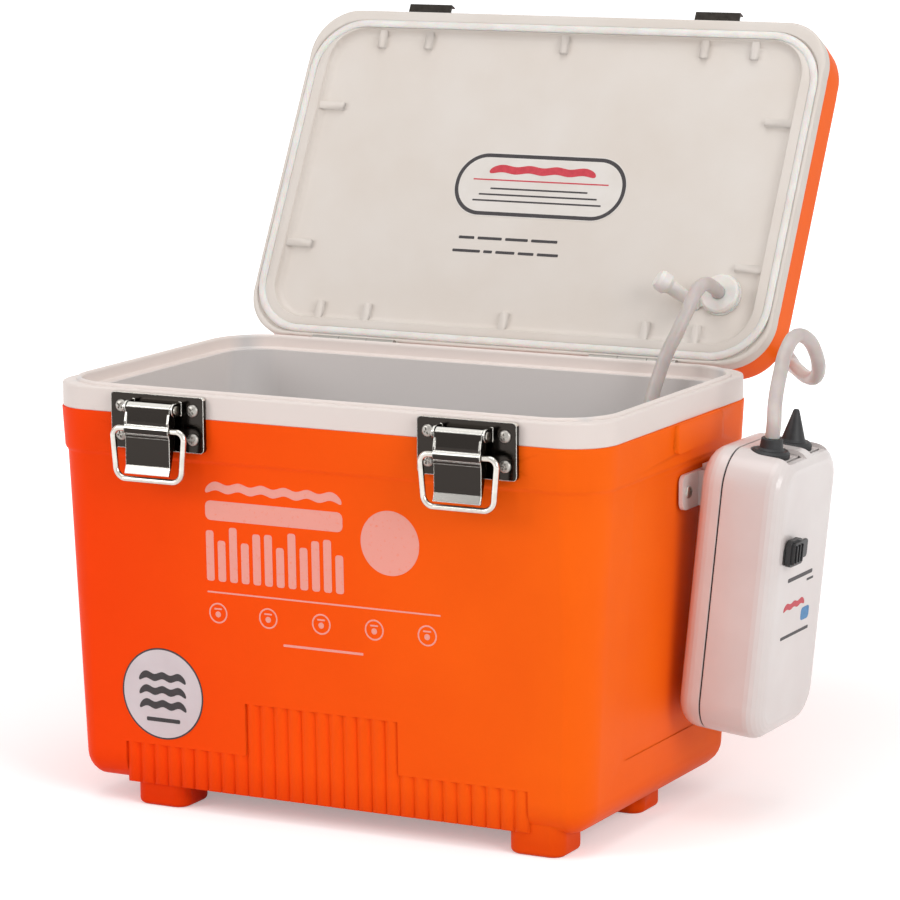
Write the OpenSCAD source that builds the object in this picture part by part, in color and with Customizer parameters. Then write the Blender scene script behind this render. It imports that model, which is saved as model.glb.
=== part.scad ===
// Aerated bait bucket: an insulated tub with a hinged lid, two bail latches and a battery air pump
// that hangs on the right wall and blows through a soft hose, a port in the lid and an air stone.
// Millimetres. X runs to the right, Y to the back, Z up. The origin lies on the ground below the
// middle of the tub. The lid is drawn open, and each lid piece is first shaped as if it were closed.

/* [Tub] */
// Width of the tub across its rim
rim_w = 298; // [280:1:330]
// Depth of the tub from front to back across its rim
rim_d = 183; // [176:0.5:206]
// Height of the rim's flat shelf above the ground
rim_z = 208.5; // [200:0.5:236]
// Radius of the upright corners of the rim
rim_corner = 22; // [19:0.5:26]
// Height of the pale band at the rim
band_h = 12; // [10:0.5:14]
// Height of the raised collar below the band
collar_h = 21; // [19:0.5:26]
// How far the top of the collar stands out past the band
collar_proud = 0.5; // [0.2:0.1:1]
// How much the collar draws in from its top to its bottom
collar_flare = 1.1; // [0:0.1:1.6]
// Width of the step from the collar to the wall
collar_step = 1.5; // [0.8:0.1:2.4]
// Slope of the walls, in degrees from upright
draft = 1.25; // [0.8:0.05:1.6]
// Thickness of the outer shell
shell_t = 3; // [2.4:0.1:3.4]
// Radius of the rounded lower edge
heel_r = 12; // [8:0.5:13]
// Height of the feet
foot_h = 11.5; // [8:0.5:16]
// Size of a foot from left to right and from front to back
foot_size = [28.5, 27];
// Radius of the upright corners of a foot
foot_corner = 7; // [5:0.5:10]
// Rounding of the lower edge of a foot
foot_edge = 2.5; // [1:0.5:4]

/* [Tub liner] */
// Width of the flat shelf outside the sealing lip
shelf_w = 2.75; // [2:0.25:4]
// Width of the sealing lip
lip_w = 3; // [2.4:0.1:3.6]
// Height of the sealing lip above the shelf
lip_h = 1.6; // [1:0.1:2]
// Corner radius that the lip, the cavity and the lid share
lid_corner = 32; // [28:1:36]
// Depth of the ledge below the shelf
ledge_drop = 5.5; // [4:0.5:8]
// Distance from the rim's outside to the cavity wall
cavity_inset = 11.5; // [10.5:0.5:13]
// Slope of the cavity walls, in degrees
cavity_draft = 2.2; // [1.8:0.1:2.5]
// Thickness of the liner
liner_t = 2.2; // [1.6:0.1:2.6]
// Height of the cavity floor above the ground
floor_z = 28; // [24:1:36]
// Rounding between the cavity floor and its walls
floor_r = 11; // [6:0.5:12]

/* [Flutes] */
// Distance from one upright flute to the next
flute_pitch = 7.6; // [6.6:0.1:8.4]
// Radius of each convex flute
flute_r = 5; // [4.6:0.1:6]
// Number of flutes in the tall middle field
flutes_mid = 11; // [7:2:15]
// Number of flutes in the low field on each side
flutes_side = 9; // [5:1:9]
// Height of the top of the middle field
flute_mid_z = 58; // [48:1:70]
// Height of the top of the side fields
flute_side_z = 32; // [28:1:40]

/* [Lid] */
// How far the lid reaches out past the front of the rim
lid_overhang = 3.5; // [2:0.5:5]
// Height of the pale flange of the lid
lid_band_h = 12; // [10:0.5:15]
// Height of the coloured crown of the lid
crown_h = 17; // [14:0.5:22]
// Rounding of the top edge of the crown
crown_r = 7; // [4:0.5:9]
// Slope of the crown's sides, in degrees
crown_draft = 2.5; // [0:0.5:4]
// Thickness of the crown's shell
crown_t = 2.5; // [2:0.1:3]
// Width of the flat ring around the inner panel, at the sides, at the back and at the front
ring_w = [12, 11, 10.5];
// Depth of the inner panel below the ring
panel_drop = 4; // [3:0.5:5]
// Width of the ribs on the inner panel
rib_w = 4; // [3:0.5:5]
// Height of the ribs on the inner panel
rib_h = 2.5; // [1.5:0.25:3]
// How far the ribs reach in over the inner panel
rib_reach = 10; // [8:0.5:14]
// Width of the seal
seal_w = 4; // [3.4:0.2:4.4]
// How far the seal stands out of the ring
seal_proud = 0.8; // [0.4:0.1:1.2]
// Depth of the groove that holds the seal
seal_seat = 1.4; // [1:0.1:1.8]
// How far the lid opens, in degrees
lid_open = 118; // [100:1:120]

/* [Hinges] */
// Distance of each hinge from the middle
hinge_x = 80; // [60:1:100]
// Width of a hinge
hinge_w = 48; // [40:1:60]
// Distance of the hinge pin behind the rim
pin_back = 2.65; // [2.6:0.05:3]
// Depth of the hinge pin below the underside of the closed lid
pin_below = 3.4; // [3.2:0.1:4]
// Radius of the hinge pin
pin_r = 1.25; // [1:0.05:1.4]
// Outer radius of the hinge knuckles
knuckle_r = 2.5; // [2.2:0.05:2.55]
// Thickness of the hinge leaves
leaf_t = 1.2; // [1:0.1:1.4]
// Length of each hinge leaf below or above its knuckles
leaf_h = 20; // [18:0.5:22]
// Length of the lid's middle knuckle
mid_knuckle = 16; // [12:1:20]

/* [Latches] */
// Distance of each latch from the middle
latch_x = 83.5; // [60:0.5:100]
// Size of the latch plate across and up
plate_size = [51.6, 27.2];
// Depth of the latch plate's folded edge
plate_depth = 2.6; // [2:0.1:3.5]
// Thickness of the latch sheet metal
sheet_t = 1; // [0.8:0.1:1.2]
// Distance of the plate screws from the middle of the plate, across and up
plate_screws = [20, 7];
// Height of the lever pivot below the rim shelf
lever_pivot_drop = 7.1; // [6.5:0.1:8]
// Distance of the lever pivot in front of the latch plate
lever_pivot_out = 5.65; // [5:0.05:6.5]
// Width of the lever
lever_w = 24.6; // [22:0.2:26]
// Length of the lever below its pivot
lever_len = 31.4; // [28:0.2:34]
// Outer radius of the lever's knuckle
lever_knuckle_r = 2.8; // [2.5:0.1:3.2]
// Radius of the lever pin
lever_pin_r = 1.5; // [1.2:0.1:1.7]
// Distance of the bail pivot below and in front of the lever pivot
bail_pivot = [9.9, 2.6];
// Radius of the barrel that holds the bail
barrel_r = 2.6; // [2.4:0.1:3]
// Radius of the bail wire
wire_r = 1.5; // [1.2:0.1:1.6]
// Outer width of the bail at its pivot
bail_w = 42.4; // [40:0.2:44]
// Slope of the bail's legs, in degrees
bail_taper = 5; // [2:0.5:7]
// Distance from the bail pivot to the middle of its cross bar
bail_reach = 24.5; // [24:0.1:25]
// Radius of the bail's upper and lower bends
bail_bends = [4, 5.5];

/* [Air pump] */
// Middle of the pump's case
pump_at = [173.9, 35, 113.5];
// Width, height and thickness of the pump's case
pump_size = [72, 139.5, 43.5];
// Lean of the hanging pump away from the wall, in degrees
pump_tilt = 6; // [5:0.5:6]
// Radius of the corners of the pump's outline
pump_corner = 18; // [14:0.5:22]
// Rounding of the edges of the pump's faces
pump_edge = 8.5; // [6:0.5:9]
// Thickness of the pump's case walls
pump_t = 2.2; // [1.8:0.1:2.6]
// Thickness of the pump's back shell
pump_back_d = 12.5; // [11:0.5:15]
// Thickness of the seal between the two shells
pump_seal_t = 0.9; // [0.6:0.1:1.2]
// Distance of each air nozzle from the middle of the top
nozzle_y = 13.5; // [12.5:0.5:15]
// Distance of the air nozzles in front of the middle of the case
nozzle_x = 5; // [3:0.5:6]
// Radius of the rubber boots on the nozzles
boot_r = 9.2; // [8.6:0.1:9.6]
// Travel of the pump's switch
switch_travel = 12; // [8:1:12]
// Radius of a battery cell
cell_r = 16.6; // [15:0.1:16.8]

/* [Air line] */
// Outer radius of the hose
hose_r = 3.5; // [3:0.1:3.6]
// Number of flat sides that the drawn hose has
hose_sides = 10; // [8:1:12]
// Place of the port in the closed lid, from the middle to the right and to the back
port_at = [117, 53.4];
// Radius of the grommet's flanges
grommet_r = 10.2; // [9:0.2:11]
// Radius of the grommet's neck
grommet_neck_r = 7; // [6:0.2:8]
// Radius and length of the air stone
stone = [7, 26];

/* [Clearances] */
// Gap between the foam and the shells around it
foam_gap = 0.25; // [0.2:0.05:0.4]
// Running gap around pins and wires
pin_gap = 0.05; // [0.03:0.01:0.08]
// Gap between parts that stand close or slide past each other
side_gap = 0.3; // [0.2:0.05:0.4]
// Gap between plates and the walls that they are screwed to
seat_gap = 0.05; // [0.03:0.01:0.1]

/* [Hidden] */

$fn = 48;
eps = 0.01;
orange = "#F2541B";
white = "#EDE6DF";
steel = "#8C8C8A";
black = "#1B1B1D";
clear_white = "#E4E2DE";
foam_colour = "#F4F1E6";

half_w = rim_w / 2;
half_d = rim_d / 2;
band_z = rim_z - band_h;
collar_z = band_z - collar_h;

// Corner centres of the tub and the reach of its wall from them
tub_cx = half_w - rim_corner;
tub_cy = half_d - rim_corner;
step_h = 3;
wall_top_z = collar_z - step_h / 2;
wall_top_reach = rim_corner + collar_proud - collar_flare - collar_step;
function wall_reach(z) = wall_top_reach - (wall_top_z - z) * tan(draft);
function wall_x(z) = tub_cx + wall_reach(z);
function wall_y(z) = tub_cy + wall_reach(z);

// Corner centres of the lip and the cavity, and the reach of the cavity wall
lip_cx = half_w - lid_corner;
lip_cy = half_d - lid_corner;
ledge_z = rim_z - ledge_drop;
function cavity_reach(z) = lid_corner - cavity_inset - (ledge_z - z) * tan(cavity_draft);

// The closed lid
lid_z = rim_z + lip_h + seal_proud + 0.1;
crown_z = lid_z + lid_band_h;
lid_top = crown_z + crown_h;
lid_d = rim_d + lid_overhang;
lid_yc = -lid_overhang / 2;
lid_front = -half_d - lid_overhang;
lid_cx = half_w - lid_corner;
lid_cy = lid_d / 2 - lid_corner;
panel_z = lid_z + panel_drop;
pin_y = half_d + pin_back;
pin_z = lid_z - pin_below;

// Points of an arc from angle a0 to a1 around a centre, in n steps
function arc(centre, r, a0, a1, n) =
    [for (i = [0 : n]) centre + r * [cos(a0 + (a1 - a0) * i / n), sin(a0 + (a1 - a0) * i / n)]];

// Place of a point of the closed lid once the lid stands open
function opened(p) = [
    p.x,
    pin_y + (p.y - pin_y) * cos(lid_open) + (p.z - pin_z) * sin(lid_open),
    pin_z - (p.y - pin_y) * sin(lid_open) + (p.z - pin_z) * cos(lid_open)
];

// The lid's pieces, turned open about the hinge pin
module in_lid() {
    translate([0, pin_y, pin_z])
        rotate([-lid_open, 0, 0])
            translate([0, -pin_y, -pin_z])
                children();
}

// A side view in Y and Z, drawn out along X
module along_x(length) {
    rotate([90, 0, 90])
        linear_extrude(length, center = true)
            children();
}

// A side profile in reach and height, swept round a rectangle of corner centres
module rim_sweep(cx, cy) {
    for (q = [[1, 1, 0], [-1, 1, 90], [-1, -1, 180], [1, -1, 270]])
        translate([q[0] * cx, q[1] * cy, 0])
            rotate([0, 0, q[2]])
                rotate_extrude(angle = 90, $fn = 64)
                    children();
    for (side = [0, 180])
        rotate([0, 0, side])
            translate([cx, 0, 0])
                rotate([90, 0, 0])
                    linear_extrude(2 * cy, center = true)
                        children();
    for (side = [90, 270])
        rotate([0, 0, side])
            translate([cy, 0, 0])
                rotate([90, 0, 0])
                    linear_extrude(2 * cx, center = true)
                        children();
}

// The same sweep with its middle filled between two heights
module solid_sweep(cx, cy, z0, z1) {
    rim_sweep(cx, cy)
        children();
    translate([-cx, -cy, z0])
        cube([2 * cx, 2 * cy, z1 - z0]);
}

module rounded_rect(w, h, r) {
    square([w - 2 * r, h], center = true);
    square([w, h - 2 * r], center = true);
    for (x = [-1, 1], y = [-1, 1])
        translate([x * (w / 2 - r), y * (h / 2 - r)])
            circle(r);
}

// ---------------------------------------------------------------- tub

module tub_outside() {
    heel_x = wall_reach(foot_h + heel_r) - heel_r;
    collar_low = wall_top_reach + collar_step;
    solid_sweep(tub_cx, tub_cy, foot_h, band_z)
        polygon(concat(
            [[0, foot_h]],
            arc([heel_x, foot_h + heel_r], heel_r, -90, -draft, 7),
            [
                [wall_top_reach, wall_top_z],
                [wall_top_reach + collar_step * 0.3, wall_top_z + step_h * 0.4],
                [collar_low - collar_step * 0.3, collar_z + step_h * 0.1],
                [collar_low, collar_z + step_h * 0.5],
                [rim_corner + collar_proud, band_z - 0.6],
                [rim_corner + collar_proud - 0.4, band_z],
                [0, band_z]
            ]
        ));
}

module tub_hollow() {
    bottom = foot_h + shell_t;
    heel_x = wall_reach(foot_h + heel_r) - heel_r;
    solid_sweep(tub_cx, tub_cy, bottom, band_z + 1)
        polygon(concat(
            [[0, bottom]],
            arc([heel_x, foot_h + heel_r], heel_r - shell_t, -90, -draft, 6),
            [[wall_reach(band_z + 1) - shell_t, band_z + 1], [0, band_z + 1]]
        ));
}

// Places of the feet: one near each front corner, one at each side and a hidden pair at the back
foot_places = [
    [-93.25, -69.75], [111.5, -69.75],
    [-93.25, 18], [111.5, 18],
    [-73, 68], [73, 68]
];

module foot(at) {
    top = foot_h + 8;
    translate([at.x, at.y, 0])
        solid_sweep(foot_size.x / 2 - foot_corner, foot_size.y / 2 - foot_corner, 0, top)
            polygon(concat(
                [[0, 0]],
                arc([foot_corner - foot_edge, foot_edge], foot_edge, -90, 0, 4),
                [[foot_corner, top], [0, top]]
            ));
}

// The front wall's own plane: y points into the wall and z runs up along it
module on_front_wall() {
    translate([0, -wall_y(foot_h), foot_h])
        rotate([draft, 0, 0])
            children();
}

flutes_all = flutes_mid + 2 * flutes_side;
flute_field_w = flutes_all * flute_pitch;
flute_mid_w = flutes_mid * flute_pitch;
flute_depth = 1.9;

// Square lower edge of the fluted field, in place of the rounded one
module flute_toe() {
    edge = 1.2;
    on_front_wall()
        along_x(flute_field_w)
            polygon([
                [0, heel_r + 1], [0, edge], [edge, 0], [heel_r + 1, 0],
                [heel_r + 1, 1.2], [5, 5], [1.2, heel_r + 1]
            ]);
}

module flute_grooves() {
    on_front_wall()
        difference() {
            union() {
                translate([-flute_field_w / 2, -1, -3])
                    cube([flute_field_w, flute_depth + 1, flute_side_z - foot_h + 3]);
                translate([-flute_mid_w / 2, -1, 0])
                    cube([flute_mid_w, flute_depth + 1, flute_mid_z - foot_h]);
            }
            for (i = [0 : flutes_all - 1])
                translate([(i - (flutes_all - 1) / 2) * flute_pitch, flute_r, -4])
                    cylinder(r = flute_r, h = flute_mid_z);
        }
}

// Raised pad on the collar above the pump, and the shallow panel in the wall below it
boss_y = [-8.5, 46];
boss_h = 14;
boss_proud = 2;
module side_boss() {
    length = boss_y[1] - boss_y[0];
    translate([half_w + boss_proud - 5, (boss_y[0] + boss_y[1]) / 2, band_z - boss_h / 2 - 0.5])
        rotate([90, 0, 90])
            linear_extrude(5)
                rounded_rect(length, boss_h, 3);
}

side_panel_w = 94;
side_panel_z = [40, 172];
module side_panel(side) {
    mid = (side_panel_z[0] + side_panel_z[1]) / 2;
    translate([side * wall_x(mid), 0, mid])
        rotate([0, side * draft, 0])
            translate([side * 4.4, 0, 0])
                rotate([90, 0, 90])
                    linear_extrude(10, center = true)
                        rounded_rect(side_panel_w, side_panel_z[1] - side_panel_z[0], 6);
}

// ---------------------------------------------------------------- screws

screw_r = 1.6;
screw_head_r = 3;
screw_head_h = 1.6;
screw_len = 5.5;

// A domed screw whose head rests on the plane z = 0 and whose shank points down
module screw() {
    rotate_extrude()
        polygon(concat(
            [[0, -screw_len], [screw_r - 0.6, -screw_len], [screw_r, -screw_len + 0.8]],
            [[screw_r, 0], [screw_head_r, 0], [screw_head_r, 0.5]],
            arc([0, -2.6], 4.2, 47.5, 90, 4)
        ));
}

module screw_hole() {
    translate([0, 0, -screw_len - 0.3])
        cylinder(r = screw_r + pin_gap, h = screw_len + 2);
}

// Turn from screwing down to screwing into the front, the back and the right wall
into_front = [90, 0, 0];
into_back = [-90, 0, 0];
into_right = [0, 90, 0];

plate_back = half_d + collar_proud + seat_gap;
plate_front = plate_back + plate_depth;
plate_z = rim_z - 1 - plate_size.y / 2;
module at_latch_screws() {
    for (side = [-1, 1], x = [-1, 1], z = [-1, 1])
        translate([
            side * latch_x + x * plate_screws[0],
            -plate_front - seat_gap,
            plate_z + z * plate_screws[1]
        ])
            rotate(into_front)
                children();
}

leaf_y = half_d + collar_proud + seat_gap;
leaf_hole_x = [-17, 17];
module at_tub_leaf_screws() {
    for (side = [-1, 1], x = leaf_hole_x, z = [7, 15.5])
        translate([side * hinge_x + x, leaf_y + leaf_t + seat_gap, pin_z - z])
            rotate(into_back)
                children();
}

module at_lid_leaf_screws() {
    for (side = [-1, 1], x = leaf_hole_x, z = [9, 17.5])
        translate([side * hinge_x + x, lid_leaf_y + leaf_t + seat_gap, pin_z + z])
            rotate(into_back)
                children();
}

bracket_z = 161.5;
bracket_size = [66, 17];
bracket_x = wall_x(bracket_z + bracket_size.y / 2) + 0.2;
bracket_t = 2.2;
module at_bracket_screws() {
    for (y = [-1, 1])
        translate([bracket_x + bracket_t + seat_gap, pump_at.y + y * (bracket_size.x / 2 - 6), bracket_z])
            rotate(into_right)
                children();
}

keeper_w = 25;
keeper_z = lid_z + 6;
module at_keeper_screws() {
    for (side = [-1, 1], x = [-7, 7])
        translate([side * latch_x + x, lid_front - sheet_t - 2 * seat_gap, keeper_z + 2])
            rotate(into_front)
                children();
}

// ---------------------------------------------------------------- tub pieces

module tub_shell() {
    color(orange)
        difference() {
            union() {
                tub_outside();
                for (at = foot_places)
                    foot(at);
                flute_toe();
                side_boss();
            }
            tub_hollow();
            flute_grooves();
            for (side = [-1, 1])
                side_panel(side);
            at_latch_screws()
                screw_hole();
            at_tub_leaf_screws()
                screw_hole();
            at_bracket_screws()
                screw_hole();
        }
}

module tub_foam() {
    bottom = foot_h + shell_t + foam_gap;
    heel_x = wall_reach(foot_h + heel_r) - heel_r;
    skin = shell_t + foam_gap;
    bed = liner_t + foam_gap;
    top = band_z - foam_gap;
    color(foam_colour)
        difference() {
            solid_sweep(tub_cx, tub_cy, bottom, top)
                polygon(concat(
                    [[0, bottom]],
                    arc([heel_x, foot_h + heel_r], heel_r - skin, -90, -draft, 6),
                    [[wall_reach(top) - skin, top], [0, top]]
                ));
            cavity(bed, top + 1);
            at_latch_screws()
                cylinder(r = screw_r + 1, h = 40, center = true);
            at_tub_leaf_screws()
                cylinder(r = screw_r + 1, h = 40, center = true);
            at_bracket_screws()
                cylinder(r = screw_r + 1, h = 24, center = true);
        }
}

// The hollow for the catch, grown by a wall's thickness where one is wanted
module cavity(grow, top) {
    low = floor_z - grow;
    reach = cavity_reach(floor_z + floor_r) + grow;
    r = floor_r + grow;
    solid_sweep(lip_cx, lip_cy, low, top)
        polygon(concat(
            [[0, low]],
            arc([reach - r, low + r], r, -90, -cavity_draft, 6),
            [[cavity_reach(top) + grow, top], [0, top]]
        ));
}

module tub_liner() {
    lip_mid = lid_corner - shelf_w - lip_w / 2;
    color(white)
        difference() {
            union() {
                solid_sweep(tub_cx, tub_cy, band_z, rim_z)
                    polygon([
                        [0, band_z], [rim_corner - 0.3, band_z], [rim_corner, band_z + 0.3],
                        [rim_corner, rim_z - 1], [rim_corner - 0.3, rim_z - 0.3],
                        [rim_corner - 1, rim_z], [0, rim_z]
                    ]);
                rim_sweep(lip_cx, lip_cy)
                    polygon(concat(
                        [[lip_mid - lip_w / 2, rim_z - 1], [lip_mid + lip_w / 2, rim_z - 1]],
                        arc([lip_mid, rim_z], lip_w / 2, 0, 180, 8)
                    ));
                cavity(liner_t, band_z);
            }
            cavity(0, rim_z + 4);
            solid_sweep(lip_cx, lip_cy, ledge_z, rim_z + 4)
                polygon([
                    [0, ledge_z], [lid_corner - shelf_w - lip_w - 0.8, ledge_z],
                    [lid_corner - shelf_w - lip_w, ledge_z + 0.8],
                    [lid_corner - shelf_w - lip_w, rim_z + 4], [0, rim_z + 4]
                ]);
            at_latch_screws()
                screw_hole();
            at_tub_leaf_screws()
                screw_hole();
        }
}

// ---------------------------------------------------------------- latches

lever_y = -plate_front - lever_pivot_out;
lever_z = rim_z - lever_pivot_drop;
bail_y = lever_y - bail_pivot[1];
bail_z = lever_z - bail_pivot[0];
ear_t = 1;
ear_r = 3.2;
ear_x = lever_w / 2 + side_gap + ear_t / 2;

module latch_plate(side) {
    translate([side * latch_x, 0, 0])
        color(steel)
            difference() {
                union() {
                    translate([0, -plate_back, plate_z])
                        rotate([90, 0, 0])
                            difference() {
                                linear_extrude(plate_depth)
                                    rounded_rect(plate_size.x, plate_size.y, 2);
                                translate([0, 0, -1])
                                    linear_extrude(plate_depth + 1 - sheet_t)
                                        rounded_rect(
                                            plate_size.x - 2 * sheet_t,
                                            plate_size.y - 2 * sheet_t,
                                            1
                                        );
                            }
                    for (x = [-1, 1])
                        translate([x * ear_x, 0, 0])
                            along_x(ear_t) {
                                translate([lever_y, lever_z])
                                    circle(ear_r);
                                translate([lever_y, lever_z - ear_r])
                                    square([-plate_front + 0.5 - lever_y, 2 * ear_r]);
                            }
                }
                translate([0, lever_y, lever_z])
                    rotate([0, 90, 0])
                        cylinder(r = lever_pin_r + pin_gap, h = plate_size.x, center = true);
                translate([-side * latch_x, 0, 0])
                    at_latch_screws()
                        screw_hole();
            }
}

module latch_screws() {
    color(steel)
        at_latch_screws()
            screw();
}

module lever_pins() {
    head = 0.8;
    span = 2 * ear_x + ear_t + 2 * seat_gap;
    color(steel)
        for (side = [-1, 1])
            translate([side * latch_x, lever_y, lever_z])
                rotate([0, 90, 0]) {
                    cylinder(r = lever_pin_r, h = span + head, center = true);
                    for (end = [-1, 1])
                        translate([0, 0, end * (span + head) / 2])
                            cylinder(r = lever_pin_r + 0.7, h = head, center = true);
                }
}

// Side view of the lever's pressed face, in Y and Z from its pivot
lever_foot_y = -3.6;
module lever_face() {
    t = sheet_t + 0.2;
    polygon([
        [-lever_knuckle_r, 1], [-lever_knuckle_r - 1.2, -6],
        [lever_foot_y - 0.6, -bail_pivot[0] - 2.6], [lever_foot_y, -bail_pivot[0] - 4],
        [lever_foot_y, -lever_len + 4], [lever_foot_y - 1.4, -lever_len],
        [lever_foot_y - 1.4 + t, -lever_len - 0.3],
        [lever_foot_y + t, -lever_len + 4], [lever_foot_y + t, -bail_pivot[0] - 4],
        [lever_foot_y - 0.6 + t, -bail_pivot[0] - 2.6], [-lever_knuckle_r - 1.2 + t, -6],
        [-lever_knuckle_r + t, 1]
    ]);
}

module lever(side) {
    knuckle_w = lever_w - 0.4;
    flange_in = 1.6;
    translate([side * latch_x, lever_y, lever_z])
        color(steel)
            difference() {
                union() {
                    along_x(lever_w)
                        lever_face();
                    rotate([0, 90, 0])
                        cylinder(r = lever_knuckle_r, h = knuckle_w, center = true);
                    for (x = [-1, 1])
                        translate([x * (lever_w - sheet_t) / 2, 0, 0])
                            along_x(sheet_t)
                                polygon([
                                    [-lever_knuckle_r - 0.4, -1.5], [0, -1.5],
                                    [flange_in, -5], [flange_in, -bail_pivot[0] - 6],
                                    [lever_foot_y + 1.4, -lever_len + 3.4],
                                    [lever_foot_y + 0.1, -lever_len + 3.4],
                                    [lever_foot_y + 0.1, -bail_pivot[0] - 4],
                                    [-lever_knuckle_r - 1.6, -6]
                                ]);
                    translate([0, -bail_pivot[1], -bail_pivot[0]])
                        rotate([0, 90, 0])
                            cylinder(r = barrel_r, h = lever_w, center = true);
                }
                rotate([0, 90, 0])
                    cylinder(r = lever_pin_r + pin_gap, h = 2 * lever_w, center = true);
                for (x = [-1, 1])
                    translate([x * lever_w / 2, -bail_pivot[1], -bail_pivot[0]])
                        rotate([0, 90, 0])
                            cylinder(r = wire_r + pin_gap, h = 14, center = true);
            }
}

// Bends of the bail: the leg's length, and the middle of the lower bend from the pivot
leg_x = bail_w / 2 - wire_r;
leg_len = (bail_reach - bail_bends[0] - bail_bends[1]
    - (bail_bends[0] - bail_bends[1]) * sin(bail_taper)) / cos(bail_taper);
low_bend = [
    leg_x - bail_bends[0] + (bail_bends[0] - bail_bends[1]) * cos(bail_taper)
        - leg_len * sin(bail_taper),
    -bail_bends[0] - (bail_bends[0] - bail_bends[1]) * sin(bail_taper)
        - leg_len * cos(bail_taper)
];

// A straight run of the wire along Z, which reaches a little into the bends at its ends
wire_lap = 0.2;
module run(length) {
    translate([0, 0, -wire_lap])
        cylinder(r = wire_r - eps, h = length + 2 * wire_lap, $fn = 24);
}

// A bend of the wire in the X-Z plane, from one angle to another
module bend(r, from, to) {
    rotate([90, 0, 0])
        rotate([0, 0, from])
            rotate_extrude(angle = to - from, $fn = 96)
                translate([r, 0])
                    circle(wire_r, $fn = 24);
}

// One side of the bail: the end in the barrel, two bends and a sloping leg
module bail_half() {
    r = bail_bends[0];
    end_len = leg_x - r - lever_w / 2 + 6;
    translate([leg_x - r - end_len, 0, 0])
        rotate([0, 90, 0])
            run(end_len);
    translate([leg_x - r, 0, -r])
        bend(r, -bail_taper, 90);
    translate([leg_x - r + r * cos(bail_taper), 0, -r - r * sin(bail_taper)])
        rotate([0, 180 + bail_taper, 0])
            run(leg_len);
    translate([low_bend[0], 0, low_bend[1]])
        bend(bail_bends[1], -90, -bail_taper);
}

module bail(side) {
    translate([side * latch_x, bail_y, bail_z])
        color(steel) {
            bail_half();
            mirror([1, 0, 0])
                bail_half();
            translate([-low_bend[0], 0, low_bend[1] - bail_bends[1]])
                rotate([0, 90, 0])
                    run(2 * low_bend[0]);
        }
}

// The hook on the lid that the bail's cross bar is laid into
module keeper(side) {
    hook_out = 8.2;
    hook_low = lid_z + 1.8;
    hook_lip = 4;
    back = lid_front - seat_gap;
    in_lid()
        translate([side * latch_x, 0, 0])
            color(steel)
                difference() {
                    along_x(keeper_w)
                        polygon([
                            [back, hook_low], [back, keeper_z + 6],
                            [back - sheet_t, keeper_z + 6], [back - sheet_t, hook_low + sheet_t],
                            [back - hook_out + sheet_t, hook_low + sheet_t],
                            [back - hook_out + sheet_t, hook_low + hook_lip],
                            [back - hook_out, hook_low + hook_lip], [back - hook_out, hook_low]
                        ]);
                    translate([-side * latch_x, 0, 0])
                        at_keeper_screws()
                            screw_hole();
                }
}

module keeper_screws() {
    color(steel)
        in_lid()
            at_keeper_screws()
                screw();
}

// ---------------------------------------------------------------- hinges

lid_leaf_y = half_d + seat_gap;

module knuckle(x0, x1) {
    translate([x0, pin_y, pin_z])
        rotate([0, 90, 0])
            cylinder(r = knuckle_r, h = x1 - x0);
}

module pin_bore(side) {
    translate([side * hinge_x, pin_y, pin_z])
        rotate([0, 90, 0])
            cylinder(r = pin_r + pin_gap, h = hinge_w + 2, center = true);
}

module tub_hinge_leaves() {
    color(steel)
        difference() {
            for (side = [-1, 1])
                tub_leaf(side);
            for (side = [-1, 1])
                pin_bore(side);
            at_tub_leaf_screws()
                screw_hole();
        }
}

module tub_leaf(side) {
    clear = knuckle_r + side_gap;
    outer = hinge_w / 2;
    inner = mid_knuckle / 2 + side_gap;
    translate([side * hinge_x - outer, leaf_y, pin_z - leaf_h])
        cube([hinge_w, leaf_t, leaf_h - clear]);
    for (s = [-1, 1]) {
        x0 = side * hinge_x + (s > 0 ? inner : -outer);
        translate([x0, leaf_y, pin_z - leaf_h])
            cube([outer - inner, leaf_t, leaf_h]);
        knuckle(x0, x0 + outer - inner);
    }
}

module lid_hinge_leaf(side) {
    clear = knuckle_r + side_gap + 0.4;
    heel_drop = 5.5;
    color(steel)
        in_lid()
            difference() {
                union() {
                    translate([side * hinge_x - hinge_w / 2, lid_leaf_y, pin_z + clear])
                        cube([hinge_w, leaf_t, leaf_h - clear + 1]);
                    translate([side * hinge_x - mid_knuckle / 2, lid_leaf_y, pin_z])
                        cube([mid_knuckle, leaf_t, leaf_h]);
                    knuckle(side * hinge_x - mid_knuckle / 2, side * hinge_x + mid_knuckle / 2);
                    // Heel that comes to rest on the tub's leaf when the lid is fully open
                    translate([side * hinge_x, pin_y, pin_z])
                        rotate([lid_open, 0, 0])
                            translate([-mid_knuckle / 2, leaf_y + leaf_t + 0.1 - pin_y, -heel_drop])
                                cube([mid_knuckle, 1.8, heel_drop - pin_r - 0.4]);
                }
                pin_bore(side);
                at_lid_leaf_screws()
                    screw_hole();
            }
}

module hinge_pins() {
    color(steel)
        for (side = [-1, 1])
            translate([side * hinge_x, pin_y, pin_z])
                rotate([0, 90, 0])
                    cylinder(r = pin_r, h = hinge_w, center = true);
}

module tub_hinge_screws() {
    color(steel)
        at_tub_leaf_screws()
            screw();
}

module lid_hinge_screws() {
    color(steel)
        in_lid()
            at_lid_leaf_screws()
                screw();
}

// ---------------------------------------------------------------- lid

crown_top_reach = lid_corner - (crown_h - crown_r) * tan(crown_draft);

module crown(skin, low) {
    r = crown_r - skin;
    top = lid_top - skin;
    translate([0, lid_yc, 0])
        solid_sweep(lid_cx, lid_cy, low, top)
            polygon(concat(
                [[0, low], [lid_corner - skin, low]],
                low < crown_z ? [[lid_corner - skin, crown_z]] : [],
                arc([crown_top_reach - crown_r, lid_top - crown_r], r, crown_draft, 90, 6),
                [[0, top]]
            ));
}

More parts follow.
